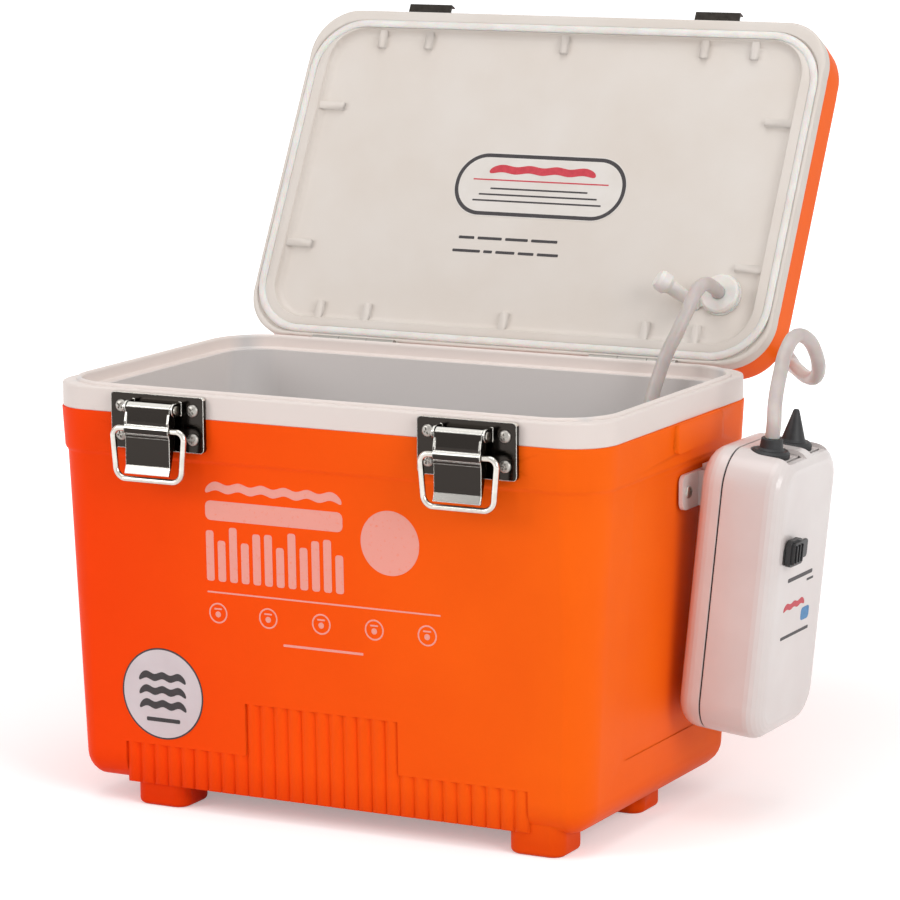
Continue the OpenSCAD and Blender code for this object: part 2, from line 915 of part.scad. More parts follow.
module port_hole(r) {
    translate([port_at.x, port_at.y, lid_z - 10])
        cylinder(r = r, h = 60);
}

module lid_shell() {
    color(orange)
        in_lid()
            difference() {
                crown(0, crown_z);
                crown(crown_t, crown_z - 1);
                port_hole(grommet_neck_r + pin_gap);
                at_lid_leaf_screws()
                    screw_hole();
            }
}

module lid_foam() {
    low = panel_z + liner_t + foam_gap;
    color(foam_colour)
        in_lid()
            difference() {
                crown(crown_t + foam_gap, low);
                port_hole(grommet_neck_r + 0.6);
                at_lid_leaf_screws()
                    cylinder(r = screw_r + 1, h = 40, center = true);
                at_keeper_screws()
                    cylinder(r = screw_r + 1, h = 40, center = true);
            }
}

// The recess of the inner panel, with a soft cove at its edge
panel_corner = 20;
panel_half_x = half_w - ring_w[0];
panel_front = lid_front + ring_w[2];
panel_back = half_d - ring_w[1];
panel_yc = (panel_front + panel_back) / 2;
panel_half_y = (panel_back - panel_front) / 2;
module panel_recess() {
    cove = panel_drop;
    translate([0, panel_yc, 0])
        solid_sweep(panel_half_x - panel_corner, panel_half_y - panel_corner, lid_z - 1, panel_z)
            polygon(concat(
                [[0, lid_z - 1], [panel_corner + 0.4, lid_z - 1], [panel_corner + 0.4, lid_z]],
                [[panel_corner, lid_z + 0.4]],
                arc([panel_corner - cove, lid_z], cove, 12, 90, 5),
                [[0, panel_z]]
            ));
}

rib_x = [-108, -80, 0, 80, 108];
side_rib_y = [39, -40];
module lid_ribs() {
    tall = panel_drop + 1;
    for (x = rib_x) {
        translate([x - rib_w / 2, panel_back - rib_reach, panel_z - rib_h])
            cube([rib_w, rib_reach + 1, tall]);
        translate([x - rib_w / 2, panel_front - 1, panel_z - rib_h])
            cube([rib_w, rib_reach + 1, tall]);
    }
    for (side = [-1, 1], y = side_rib_y)
        translate([side > 0 ? panel_half_x - rib_reach - 5 : -panel_half_x - 1, y - rib_w / 2, panel_z - rib_h])
            cube([rib_reach + 6, rib_w, tall]);
}

seal_mid = lid_corner - shelf_w - lip_w / 2;
module lid_liner() {
    color(white)
        in_lid()
            difference() {
                union() {
                    difference() {
                        translate([0, lid_yc, 0])
                            solid_sweep(lid_cx, lid_cy, lid_z, crown_z)
                                polygon([
                                    [0, lid_z], [lid_corner - 1, lid_z], [lid_corner - 0.3, lid_z + 0.3],
                                    [lid_corner, lid_z + 1], [lid_corner, crown_z], [0, crown_z]
                                ]);
                        panel_recess();
                    }
                    lid_ribs();
                }
                translate([0, lid_yc, 0])
                    solid_sweep(lid_cx, lid_cy, panel_z + liner_t, crown_z + 1)
                        polygon([
                            [0, panel_z + liner_t], [lid_corner - crown_t, panel_z + liner_t],
                            [lid_corner - crown_t, crown_z + 1], [0, crown_z + 1]
                        ]);
                rim_sweep(lip_cx, lip_cy)
                    translate([seal_mid - seal_w / 2 - foam_gap, lid_z - 1])
                        square([seal_w + 2 * foam_gap, seal_seat + 1]);
                port_hole(grommet_neck_r + pin_gap);
                at_lid_leaf_screws()
                    screw_hole();
                at_keeper_screws()
                    screw_hole();
            }
}

module lid_seal() {
    top = lid_z + seal_seat - seat_gap;
    low = lid_z - seal_proud;
    color(clear_white)
        in_lid()
            rim_sweep(lip_cx, lip_cy)
                polygon(concat(
                    [[seal_mid + seal_w / 2, top], [seal_mid - seal_w / 2, top]],
                    [[seal_mid - seal_w / 2, lid_z]],
                    arc([seal_mid, lid_z + 2.2], 2.2 + seal_proud, -130, -50, 6),
                    [[seal_mid + seal_w / 2, lid_z]]
                ));
}

// ---------------------------------------------------------------- port

grommet_in_h = 3;
grommet_out_h = 2.6;
tether_t = 1.2;
port_in_z = panel_z - tether_t - 2 * seat_gap - grommet_in_h;
port_out_z = lid_top + seat_gap + grommet_out_h;

module port_grommet() {
    color(clear_white)
        in_lid()
            translate([port_at.x, port_at.y, 0])
                rotate_extrude()
                    polygon([
                        [hose_r + pin_gap, port_in_z], [grommet_r - 1, port_in_z],
                        [grommet_r, port_in_z + 1], [grommet_r, port_in_z + grommet_in_h],
                        [grommet_neck_r, port_in_z + grommet_in_h],
                        [grommet_neck_r, lid_top + seat_gap], [grommet_r, lid_top + seat_gap],
                        [grommet_r, port_out_z - 1.2], [grommet_r - 1.6, port_out_z],
                        [hose_r + pin_gap, port_out_z]
                    ]);
}

// Spare plug of the port, on a strap whose ring is held under the grommet's flange
plug_root = [-13, 5.6];
plug_lean = 47;
plug_turn = 204;
plug_r = 3.75;
plug_len = 19;
module port_plug() {
    ring_z = panel_z - seat_gap - tether_t;
    color(clear_white)
        in_lid()
            translate([port_at.x, port_at.y, 0]) {
                difference() {
                    union() {
                        translate([0, 0, ring_z])
                            cylinder(r = grommet_r + 0.6, h = tether_t);
                        translate([0, 0, ring_z])
                            rotate([0, 0, atan2(plug_root[1], plug_root[0])])
                                translate([0, -2.5, 0])
                                    cube([norm(plug_root) + 2, 5, tether_t]);
                    }
                    translate([0, 0, ring_z - 1])
                        cylinder(r = grommet_neck_r + side_gap, h = 4);
                }
                difference() {
                    translate([plug_root[0], plug_root[1], ring_z + 1])
                        rotate([0, 0, plug_turn])
                            rotate([0, 90 + 90 - plug_lean, 0])
                                rotate_extrude()
                                    polygon([
                                        [0, -2], [plug_r - 0.9, -2], [plug_r - 0.5, 0],
                                        [plug_r, plug_len - 3], [plug_r + 1.7, plug_len - 1],
                                        [plug_r + 1.7, plug_len + 3], [plug_r + 0.6, plug_len + 5],
                                        [0, plug_len + 5]
                                    ]);
                    translate([-60, -30, ring_z + tether_t])
                        cube([80, 60, 30]);
                }
            }
}

// ---------------------------------------------------------------- pump

pump_half = pump_size.z / 2;
pump_top = pump_size.y / 2;
split_x = pump_back_d - pump_half;

// The pump's own frame: x points out of its front, y to the back of the tub and z up along it
module in_pump() {
    translate(pump_at)
        rotate([0, pump_tilt, 0])
            children();
}

module case_sweep(x0, x1) {
    rotate([0, 90, 0])
        solid_sweep(pump_top - pump_corner, pump_size.x / 2 - pump_corner, x0, x1)
            children();
}

module case_back(skin) {
    r = pump_edge - skin;
    x0 = -pump_half + skin;
    x1 = skin > 0 ? split_x + 1 : split_x;
    case_sweep(x0, x1)
        polygon(concat(
            [[0, x0]],
            arc([pump_corner - pump_edge, x0 + r], r, -90, 0, 6),
            [[pump_corner - skin, x1], [0, x1]]
        ));
}

module case_front(skin) {
    r = pump_edge - skin;
    x1 = pump_half - skin;
    x0 = skin > 0 ? split_x - 1 : split_x + pump_seal_t;
    case_sweep(x0, x1)
        polygon(concat(
            [[0, x0], [pump_corner - skin, x0]],
            arc([pump_corner - pump_edge, x1 - r], r, 0, 90, 6),
            [[0, x1]]
        ));
}

screw_post = [pump_size.x / 2 - 8, pump_top - 9.75];
post_r = 4.4;
post_end_gap = 6.75;
screw_sink = 2.4;
module at_case_screws() {
    for (z = [-1, 1])
        translate([-pump_half + screw_sink, screw_post[0], z * screw_post[1]])
            rotate([0, -90, 0])
                children();
}

module pump_back_shell() {
    color(white)
        in_pump()
            difference() {
                union() {
                    difference() {
                        case_back(0);
                        case_back(pump_t);
                    }
                    at_case_screws()
                        translate([0, 0, -pump_back_d + 2.6])
                            cylinder(r = post_r, h = pump_back_d - 2.6);
                }
                at_case_screws() {
                    cylinder(r = screw_r + pin_gap, h = 3 * pump_back_d, center = true);
                    cylinder(r = screw_head_r + side_gap, h = screw_sink + 1);
                }
            }
}

pocket_depth = 3;
boot_seat = pump_top - pocket_depth;
spigot_r = 2.3;
module at_nozzle(side) {
    translate([nozzle_x, side * nozzle_y, boot_seat])
        children();
}

switch_at = [-19.5, 24.5];
switch_knob_size = [13, 13];
switch_plate_size = [28, 9];
module pump_front_shell() {
    post_low = screw_sink + post_end_gap - pump_size.z;
    color(white)
        in_pump()
            difference() {
                union() {
                    difference() {
                        case_front(0);
                        case_front(pump_t);
                    }
                    translate([-4.5, -25, boot_seat - 2.4])
                        cube([19.5, 50, 3]);
                    at_case_screws()
                        translate([0, 0, post_low])
                            cylinder(r = post_r, h = screw_sink - pump_back_d - pump_seal_t - post_low);
                }
                for (side = [-1, 1])
                    at_nozzle(side) {
                        cylinder(r = boot_r + 0.6, h = 12);
                        translate([0, -boot_r - 0.6, 0])
                            cube([20, 2 * boot_r + 1.2, 12]);
                        translate([0, 0, -6])
                            cylinder(r = spigot_r + pin_gap, h = 8);
                    }
                at_case_screws()
                    translate([0, 0, -pump_back_d - 8])
                        cylinder(r = screw_r + pin_gap, h = 12);
                translate([pump_half - 5, switch_at[0] - 2, switch_at[1] - 2])
                    cube([10, switch_travel + 4, 3.4]);
            }
}

module pump_seal() {
    color(black)
        in_pump()
            rotate([0, 90, 0])
                rim_sweep(pump_top - pump_corner, pump_size.x / 2 - pump_corner)
                    translate([pump_corner - pump_t, split_x + 0.02])
                        square([pump_t - 0.5, pump_seal_t - 0.04]);
}

module case_screws() {
    long = pump_back_d + 4;
    color(steel)
        in_pump()
            at_case_screws()
                rotate_extrude()
                    polygon([
                        [0, -long], [screw_r, -long], [screw_r, seat_gap], [screw_head_r, seat_gap],
                        [screw_head_r, 1.2], [screw_head_r - 0.8, 1.9], [0, 1.9]
                    ]);
}

// Two cells stand one on the other, on the side of the case next to the front of the tub
cell_y = -13;
cell_x = 0.8;
cell_gap = 0.3;
duct_low = boot_seat - 5.4;
cell_low = -pump_top + pump_t + 5.2;
cell_len = (duct_low - cell_low - 1.7) / 2;
module battery_cells() {
    color("#3A4A5A")
        in_pump()
            for (i = [0, 1])
                translate([cell_x, cell_y, cell_low + i * (cell_len + cell_gap)])
                    rotate_extrude()
                        polygon([
                            [0, 0], [cell_r - 1, 0], [cell_r, 1], [cell_r, cell_len - 3.4],
                            [cell_r - 2, cell_len - 1.6], [4.8, cell_len - 1.6],
                            [4.8, cell_len], [0, cell_len]
                        ]);
}

module battery_contacts() {
    top = cell_low + 2 * cell_len + cell_gap + 0.05;
    color(steel)
        in_pump() {
            translate([cell_x, cell_y, -pump_top + pump_t + 0.1])
                cylinder(r1 = 6, r2 = 5, h = cell_low + pump_top - pump_t - 0.2);
            translate([cell_x, cell_y, top])
                cylinder(r = 5, h = 0.6);
        }
}

motor_at = [2, 20, -38];
motor_r = 11;
motor_h = 24;
shaft_r = 1;
crank_throw = 0.8;
module pump_motor() {
    color(steel)
        in_pump()
            translate(motor_at) {
                difference() {
                    intersection() {
                        translate([0, 0, -motor_h / 2])
                            cylinder(r = motor_r, h = motor_h);
                        cube([2 * motor_r, 16, 2 * motor_h], center = true);
                    }
                    translate([0, 0, -motor_h / 2 + 2])
                        cylinder(r = shaft_r + pin_gap, h = motor_h);
                }
                // Cradle that carries the motor on the case wall
                translate([-20.4, -6, -motor_h / 2 + 3])
                    cube([20.4 - motor_r + 2, 12, motor_h - 6]);
            }
}

crank_z = motor_h / 2 + 2;
crank_disc_r = 6.5;
module pump_crank() {
    color("#C9A86A")
        in_pump()
            translate(motor_at) {
                translate([0, 0, -motor_h / 2 + 3])
                    cylinder(r = shaft_r, h = motor_h + 2);
                translate([0, 0, crank_z - 1.5])
                    cylinder(r = crank_disc_r, h = 3);
                translate([crank_throw, 0, crank_z + 1.4])
                    cylinder(r = 1.5, h = 5);
            }
}

// The air chamber above the motor, with a round bore that the diaphragm closes
chamber_z = motor_at.z + 34;
chamber_size = [pump_size.z - 13.8, pump_size.x / 4, 36];
chamber_bore_r = 8.2;
duct_r = 3.4;
module air_chamber() {
    duct_z = chamber_z + chamber_size.z - 1;
    color("#D8D4CC")
        in_pump() {
            difference() {
                translate([-pump_half + pump_t + 0.45, motor_at.y - chamber_size.y / 2, chamber_z])
                    cube(chamber_size);
                translate([4, motor_at.y, chamber_z - 1])
                    cylinder(r = chamber_bore_r, h = 12);
            }
            // Duct from the chamber to the two nozzles
            translate([nozzle_x, motor_at.y, duct_z])
                cylinder(r = duct_r, h = duct_low + 0.4 - duct_z);
            translate([nozzle_x - duct_r, -nozzle_y - duct_r, duct_low])
                cube([2 * duct_r, motor_at.y + nozzle_y + 2 * duct_r, 2.9]);
            for (side = [-1, 1])
                at_nozzle(side)
                    translate([0, 0, -4])
                        cylinder(r = spigot_r, h = 10);
        }
}

module diaphragm() {
    eye_r = 1.5 + crank_throw + side_gap;
    eye_z = motor_at.z + crank_z + 3.4;
    color(black)
        in_pump() {
            difference() {
                translate([motor_at.x, motor_at.y, eye_z - 0.4])
                    cylinder(r = eye_r + 2, h = 3);
                translate([motor_at.x, motor_at.y, eye_z - 1])
                    cylinder(r = eye_r, h = 5.2);
            }
            translate([4, motor_at.y, eye_z + 5])
                cylinder(r = 2, h = chamber_z - eye_z - 3);
            translate([motor_at.x - 1, motor_at.y + eye_r + 0.6, eye_z])
                cube([3, 1.6, 7]);
            translate([motor_at.x - 1, motor_at.y - 1, eye_z + 4.6])
                cube([4.4, eye_r + 3.2, 2.6]);
            translate([4, motor_at.y, chamber_z + 0.1])
                cylinder(r = chamber_bore_r - 0.2, h = 2);
        }
}

boot_base_h = 3.4;
module boot_profile(top) {
    rotate_extrude()
        polygon(concat(
            [[spigot_r + pin_gap, 0], [boot_r, 0], [boot_r, boot_base_h - 1.2]],
            [[boot_r - 1.2, boot_base_h]],
            top
        ));
}

module nozzle_cap() {
    color(black)
        in_pump()
            at_nozzle(1)
                translate([0, 0, 0.1])
                    boot_profile([
                        [6.4, boot_base_h], [5.6, boot_base_h + 1.2], [1.6, boot_base_h + 14.6],
                        [1.2, boot_base_h + 15.4], [0, boot_base_h + 15.4], [0, 6.6],
                        [spigot_r + pin_gap, 6.6]
                    ]);
}

socket_h = 9;
module nozzle_socket() {
    color(black)
        in_pump()
            at_nozzle(-1)
                translate([0, 0, 0.1])
                    boot_profile([
                        [6.6, boot_base_h], [5.6, boot_base_h + 1], [5.2, socket_h - 0.4],
                        [4.8, socket_h], [0, socket_h], [0, 6.6], [spigot_r + pin_gap, 6.6]
                    ]);
}

module switch_plate() {
    color(black)
        in_pump()
            difference() {
                translate([pump_half + 0.02, switch_at[0] + 7.5, switch_at[1] - 1.6])
                    rotate([90, 0, 90])
                        linear_extrude(0.9)
                            rounded_rect(switch_plate_size[0], switch_plate_size[1], 2);
                translate([pump_half - 1, switch_at[0] - 2, switch_at[1] - 2])
                    cube([4, switch_travel + 4, 3.4]);
            }
}

// Catch behind the case wall that keeps the knob in its slot
catch_t = 1.5;
catch_x = pump_half - pump_t - 0.2 - catch_t;

module switch_knob() {
    color(black)
        in_pump() {
            translate([pump_half + 1.2, switch_at[0], switch_at[1]])
                rotate([90, 0, 90]) {
                    linear_extrude(2.6)
                        rounded_rect(switch_knob_size[0], switch_knob_size[1], 2.4);
                    linear_extrude(4.2)
                        rounded_rect(switch_knob_size[0] - 2, switch_knob_size[1] - 2, 2);
                }
            translate([catch_x, switch_at[0] - 1.6, switch_at[1] - 1.6])
                cube([pump_half + 2 - catch_x, 3.2, 2.6]);
            translate([catch_x, switch_at[0] - 4, switch_at[1] - 3])
                cube([catch_t, 8, 5.6]);
        }
}

// ---------------------------------------------------------------- hanging the pump

slot_w = 2.6;
web_t = 2;
module pump_bracket() {
    w = bracket_size.x;
    h = bracket_size.y;
    web_x = bracket_x + bracket_t + slot_w;
    web_w = 30;
    color(white)
        difference() {
            union() {
                translate([bracket_x, pump_at.y, bracket_z])
                    rotate([90, 0, 90])
                        linear_extrude(bracket_t)
                            rounded_rect(w, h, 4);
                translate([web_x, pump_at.y - web_w / 2, bracket_z - h / 2])
                    cube([web_t, web_w, h]);
                for (s = [-1, 1])
                    translate([bracket_x, pump_at.y + s * (web_w / 2 - 1) - 1, bracket_z - h / 2])
                        cube([web_x - bracket_x + 0.5, 2, h]);
                translate([bracket_x, pump_at.y - web_w / 2, bracket_z - h / 2])
                    cube([web_x - bracket_x + 0.5, web_w, 2]);
            }
            at_bracket_screws()
                screw_hole();
        }
}

module bracket_screws() {
    color(steel)
        at_bracket_screws()
            screw();
}

hook_w = 22;
module pump_hook() {
    tongue_x = bracket_x + bracket_t + side_gap;
    tongue_t = slot_w - 2 * side_gap;
    over = bracket_z + bracket_size.y / 2 + side_gap;
    color(white)
        difference() {
            union() {
                in_pump()
                    translate([-pump_half - 1.6 - seat_gap, -hook_w / 2, 32])
                        cube([1.6, hook_w, 32]);
                translate([tongue_x, pump_at.y - hook_w / 2, over - 12])
                    cube([tongue_t, hook_w, 12 + 2.4]);
                translate([tongue_x, pump_at.y - hook_w / 2, over])
                    cube([9, hook_w, 2.4]);
            }
            in_pump()
                translate([-pump_half - seat_gap, -30, 0])
                    cube([30, 60, 100]);
        }
}

// ---------------------------------------------------------------- air line

// One tube of a given radius along a route of points, closed at both ends
module tube(route, r) {
    n = len(route);
    m = hose_sides;
    heads = [for (i = [0 : n - 1]) unit(route[min(i + 1, n - 1)] - route[max(i - 1, 0)])];
    sides = frames(heads, n - 1);
    points = [
        for (i = [0 : n - 1], k = [0 : m - 1])
            let (u = sides[i], v = cross(heads[i], u), a = 360 * k / m)
                route[i] + r * (cos(a) * u + sin(a) * v)
    ];
    walls = [
        for (i = [0 : n - 2], k = [0 : m - 1])
            let (a = i * m + k, b = i * m + (k + 1) % m)
                each [[a, b, a + m], [b, b + m, a + m]]
    ];
    ends = [
        for (k = [1 : m - 2])
            each [[0, k + 1, k], [(n - 1) * m, (n - 1) * m + k, (n - 1) * m + k + 1]]
    ];
    polyhedron(points, concat([for (f = walls) [f[0], f[2], f[1]]], [for (f = ends) [f[0], f[2], f[1]]]));
}

function unit(v) = v / norm(v);

// A side direction for each ring, carried along the route so that the tube does not twist
function frames(heads, i) =
    i == 0
        ? [unit(cross(heads[0], [0.3, 1, 0.1]))]
        : let (before = frames(heads, i - 1), last = before[i - 1])
            concat(before, [unit(last - (last * heads[i]) * heads[i])]);

function pump_point(p) = [
    pump_at.x + p.x * cos(pump_tilt) + p.z * sin(pump_tilt),
    pump_at.y + p.y,
    pump_at.z - p.x * sin(pump_tilt) + p.z * cos(pump_tilt)
];

socket_top = boot_seat + 0.1 + socket_h + seat_gap;
hose_start = [
    pump_point([nozzle_x, -nozzle_y, socket_top]),
    pump_point([nozzle_x, -nozzle_y, socket_top + 7])
];
port_mouth_out = opened([port_at.x, port_at.y, port_out_z + seat_gap]);
port_mouth_in = opened([port_at.x, port_at.y, port_in_z]);
port_run_out = opened([port_at.x, port_at.y, port_out_z + seat_gap + 7]);
port_run_in = opened([port_at.x, port_at.y, port_in_z - 7]);

outer_route = concat(
    hose_start,
    [
        [186, 26.4, 204.4], [185.1, 34, 216.6], [184.3, 44, 227.6], [184.6, 55, 232.6],
        [186, 65.8, 229.8], [186.4, 75, 222], [184.4, 84, 213], [178.8, 93, 206.6],
        [170.3, 103, 205], [161.3, 113.5, 206.2], [153.6, 125.5, 206.6], [148, 138.5, 204],
        [143.4, 151.5, 201.4], [137, 163, 202.2], [128.8, 169.6, 207], [121.8, 168.2, 213.6],
        [118, 160.2, 219.1]
    ],
    [port_run_out, port_mouth_out]
);

stone_at = [104, 22, floor_z + stone[0] + 0.3];
inner_route = concat(
    [port_mouth_out, port_mouth_in, port_run_in],
    [
        [117, 99, 248.5], [116.5, 90, 246], [115.2, 83.5, 238.5], [112.4, 77, 227.5],
        [108.6, 72, 216.5], [105.6, 68.5, 205], [103.2, 65, 192.5], [101.8, 61, 176],
        [101.2, 57.5, 158.5], [101.2, 54.5, 140], [101.5, 52.5, 121.5], [102, 51.5, 103],
        [102.7, 52, 86], [103.3, 54.5, 70], [103.8, 57, 57], [104, 56.5, 45.5], [104, 51, 37.5]
    ],
    [[stone_at.x, stone_at.y + stone[1] / 2 + 14, stone_at.z],
     [stone_at.x, stone_at.y + stone[1] / 2 + 4.05, stone_at.z]]
);

module outer_hose() {
    color(clear_white)
        tube(outer_route, hose_r);
}

module inner_hose() {
    color(clear_white)
        tube(inner_route, hose_r);
}

module air_stone() {
    color("#7E8A92")
        translate(stone_at)
            rotate([90, 0, 0])
                rotate_extrude()
                    polygon([
                        [0, -stone[1] / 2 - 4], [2.6, -stone[1] / 2 - 4], [2.6, -stone[1] / 2],
                        [stone[0] - 1, -stone[1] / 2], [stone[0], -stone[1] / 2 + 1],
                        [stone[0], stone[1] / 2 - 1], [stone[0] - 1, stone[1] / 2], [0, stone[1] / 2]
                    ]);
}

// ---------------------------------------------------------------- nodes

tub_shell();
tub_foam();
tub_liner();
latch_plate(-1);  // latch_plate_left
latch_plate(1);  // latch_plate_right
latch_screws();
lever_pins();
lever(-1);  // lever_left
lever(1);  // lever_right
bail(-1);  // bail_left
bail(1);  // bail_right
tub_hinge_leaves();
tub_hinge_screws();
hinge_pins();
lid_shell();
lid_foam();
lid_liner();
lid_seal();
lid_hinge_leaf(-1);  // lid_hinge_leaf_left
lid_hinge_leaf(1);  // lid_hinge_leaf_right
lid_hinge_screws();
keeper(-1);  // keeper_left
keeper(1);  // keeper_right
keeper_screws();
port_grommet();
port_plug();
pump_bracket();
bracket_screws();
pump_hook();
pump_back_shell();
pump_front_shell();
pump_seal();
case_screws();
battery_cells();
battery_contacts();
pump_motor();
pump_crank();
air_chamber();
diaphragm();
nozzle_cap();
nozzle_socket();
switch_plate();
switch_knob();
outer_hose();
inner_hose();
air_stone();
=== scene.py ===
# %% [markdown]
# # An aerated bait bucket
# A small insulated tub keeps bait fish cool, and a battery pump on its side blows air through a hose
# into the water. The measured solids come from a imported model, and this file dresses them: it adds the
# soft hoses, the crossed screw heads, the prints and the labels, and gives each surface its material.
# Reshaped copies stand in for the shell, its foam, the lid's crown and panel, and the keepers. The CAD
# solids are never moved, because the moving parts and the collisions depend on them.

# %% Load the measured solids
import math
import bpy
from mathutils import Matrix, Vector
from mathutils.geometry import interpolate_bezier


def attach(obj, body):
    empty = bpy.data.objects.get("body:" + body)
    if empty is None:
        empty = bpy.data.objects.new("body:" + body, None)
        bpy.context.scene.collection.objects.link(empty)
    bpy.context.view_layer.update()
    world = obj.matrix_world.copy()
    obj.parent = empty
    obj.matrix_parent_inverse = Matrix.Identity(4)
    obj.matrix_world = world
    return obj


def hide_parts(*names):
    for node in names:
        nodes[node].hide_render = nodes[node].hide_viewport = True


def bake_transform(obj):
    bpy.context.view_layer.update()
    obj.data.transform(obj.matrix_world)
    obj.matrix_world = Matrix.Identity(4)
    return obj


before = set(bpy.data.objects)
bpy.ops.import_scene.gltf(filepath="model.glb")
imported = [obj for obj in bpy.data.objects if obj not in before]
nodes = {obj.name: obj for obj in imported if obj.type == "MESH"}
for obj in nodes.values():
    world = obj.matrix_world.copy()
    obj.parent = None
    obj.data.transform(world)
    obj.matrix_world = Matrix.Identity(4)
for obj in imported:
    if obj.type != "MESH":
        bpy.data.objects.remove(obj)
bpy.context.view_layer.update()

bpy.ops.object.select_all(action="DESELECT")

# %% [markdown]
# ## Measures that the pieces share
# The same numbers as in the CAD source place what is added here, such as the hinge pin about which the
# lid swings, and the slope of the front wall. They are in millimetres there, so one factor turns them
# into Blender's metres.

# %% Shared measures
MM = 0.001
RIM_W, RIM_D, RIM_Z, RIM_CORNER = 298, 183, 208.5, 22
DRAFT, END_DRAFT, BACK_DRAFT = 1.25, 3.0, 2.7
BAND_H, COLLAR_H, STEP_H = 12, 21, 3
COLLAR_PROUD, COLLAR_FLARE, COLLAR_STEP = 0.5, 1.1, 1.5
WALL_TOP_Z = RIM_Z - BAND_H - COLLAR_H - STEP_H / 2
WALL_REACH = RIM_CORNER + COLLAR_PROUD - COLLAR_FLARE - COLLAR_STEP
LIP_H, SEAL_PROUD, SEAL_GAP, SEAT_GAP = 1.6, 0.8, 0.1, 0.05
LID_Z = RIM_Z + LIP_H + SEAL_PROUD + SEAL_GAP
PANEL_Z, CROWN_Z, LID_TOP = LID_Z + 4, LID_Z + 12, LID_Z + 29
PIN_BACK, PIN_BELOW = 2.65, 3.4
PIN = Vector((0, RIM_D / 2 + PIN_BACK, LID_Z - PIN_BELOW))
LID_OPEN = math.radians(118)
PUMP_AT = Vector((173.9, 35, 113.5))
PUMP_TILT = math.radians(6)
PUMP_SIZE = Vector((72, 139.5, 43.5))


def metres(point):
    return Vector(point) * MM


# Place of a point of the closed lid once the lid stands open
lid_turn = (Matrix.Translation(PIN * MM) @ Matrix.Rotation(-LID_OPEN, 4, "X")
            @ Matrix.Translation(-PIN * MM))
# The pump's own frame, which leans out from the wall
pump_turn = Matrix.Translation(PUMP_AT * MM) @ Matrix.Rotation(PUMP_TILT, 4, "Y")


def front_wall_y(z):
    """Depth of the outer front wall at a height, in millimetres."""
    reach = WALL_REACH - (WALL_TOP_Z - z) * math.tan(math.radians(DRAFT))
    return -(RIM_D / 2 - RIM_CORNER + reach)


print("pin at", PIN, "and front wall at", round(front_wall_y(100), 2), "mm")

# %% [markdown]
# ## Camera
# The photographer stood to the right of the front and a little above it, with a long lens, which keeps
# the upright edges nearly parallel. The place, the turn and the lens come from matching the corners of
# the rim, the feet and the lid, so the render can be laid over the picture.

# %% Camera
SENSOR_MM, FOCAL_PX, PICTURE_PX = 36, 4003.99, 900
CAMERA_AT = (0.91884, -1.70722, 0.51396)
YAW, PITCH, ROLL = 0.48213, 0.17480, -0.006365
bpy.ops.object.camera_add()
camera = bpy.context.object
camera.name = "camera"
camera.data.sensor_width = SENSOR_MM
camera.data.lens = SENSOR_MM * FOCAL_PX / PICTURE_PX
camera.data.clip_end = 60
look = Matrix.Rotation(YAW, 4, "Z") @ Matrix.Rotation(math.pi / 2 - PITCH, 4, "X")
camera.matrix_world = Matrix.Translation(CAMERA_AT) @ look @ Matrix.Rotation(ROLL, 4, "Z")
bpy.context.scene.camera = camera
print("lens", round(camera.data.lens, 1), "mm")

# %% [markdown]
# ## Hoses
# The air line is soft clear tube of 7 mm. It rises from the pump's nozzle, bends over behind the lid and
# goes through a grommet, and a second run hangs from there into the tub, down to the air stone. A curve
# through a few points gives one smooth line, its bevel makes the tube round, and it is turned into a
# mesh. The real hose bends where the lid swings. The points are those of the CAD solid.

# %% Hose routes
PORT = (117, 53.4)
TETHER_T, GROMMET_IN_H, GROMMET_OUT_H = 1.3, 3, 2.6
PORT_IN, PORT_OUT = PANEL_Z - TETHER_T - GROMMET_IN_H, LID_TOP + SEAT_GAP + GROMMET_OUT_H
SOCKET_SUNK, SOCKET_SEAT, SOCKET_H = 3, 0.1, 9
socket_top = PUMP_SIZE.y / 2 - SOCKET_SUNK + SOCKET_SEAT + SOCKET_H + SEAT_GAP


def in_pump(point):
    return pump_turn @ metres(point)


def in_port(z):
    """A point on the port's axis, carried along by the open lid."""
    return lid_turn @ metres((*PORT, z))


outer_route = [in_pump((5, -13.5, socket_top)), in_pump((5, -13.5, socket_top + 7))] + [
    metres(p) for p in (
        (186, 26.4, 204.4), (185.1, 34, 216.6), (184.3, 44, 227.6), (184.6, 55, 232.6),
        (186, 65.8, 229.8), (186.4, 75, 222), (184.4, 84, 213), (178.8, 93, 206.6),
        (170.3, 103, 205), (161.3, 113.5, 206.2), (153.6, 125.5, 206.6), (148, 138.5, 204),
        (143.4, 151.5, 201.4), (137, 163, 202.2), (128.8, 169.6, 207), (121.8, 168.2, 213.6),
        (118, 160.2, 219.1))
] + [in_port(PORT_OUT + 7.05), in_port(PORT_OUT + 0.05)]

inner_route = [in_port(z) for z in (PORT_OUT + 0.05, PORT_IN, PORT_IN - 7)] + [
    metres(p) for p in (
        (117, 99, 248.5), (116.5, 90, 246), (115.2, 83.5, 238.5), (112.4, 77, 227.5),
        (108.6, 72, 216.5), (105.6, 68.5, 205), (103.2, 65, 192.5), (101.8, 61, 176),
        (101.2, 57.5, 158.5), (101.2, 54.5, 140), (101.5, 52.5, 121.5), (102, 51.5, 103),
        (102.7, 52, 86), (103.3, 54.5, 70), (103.8, 57, 57), (104, 56.5, 45.5), (104, 51, 37.5),
        (104, 49, 35.3), (104, 39.05, 35.3))
]
print(len(outer_route), "and", len(inner_route), "points")

# %% [markdown]
# A Bezier curve with automatic handles passes through every point and stays smooth between them. Its
# length is added up along the same curve.

# %% Make the two hoses
HOSE_R = 3.5 * MM


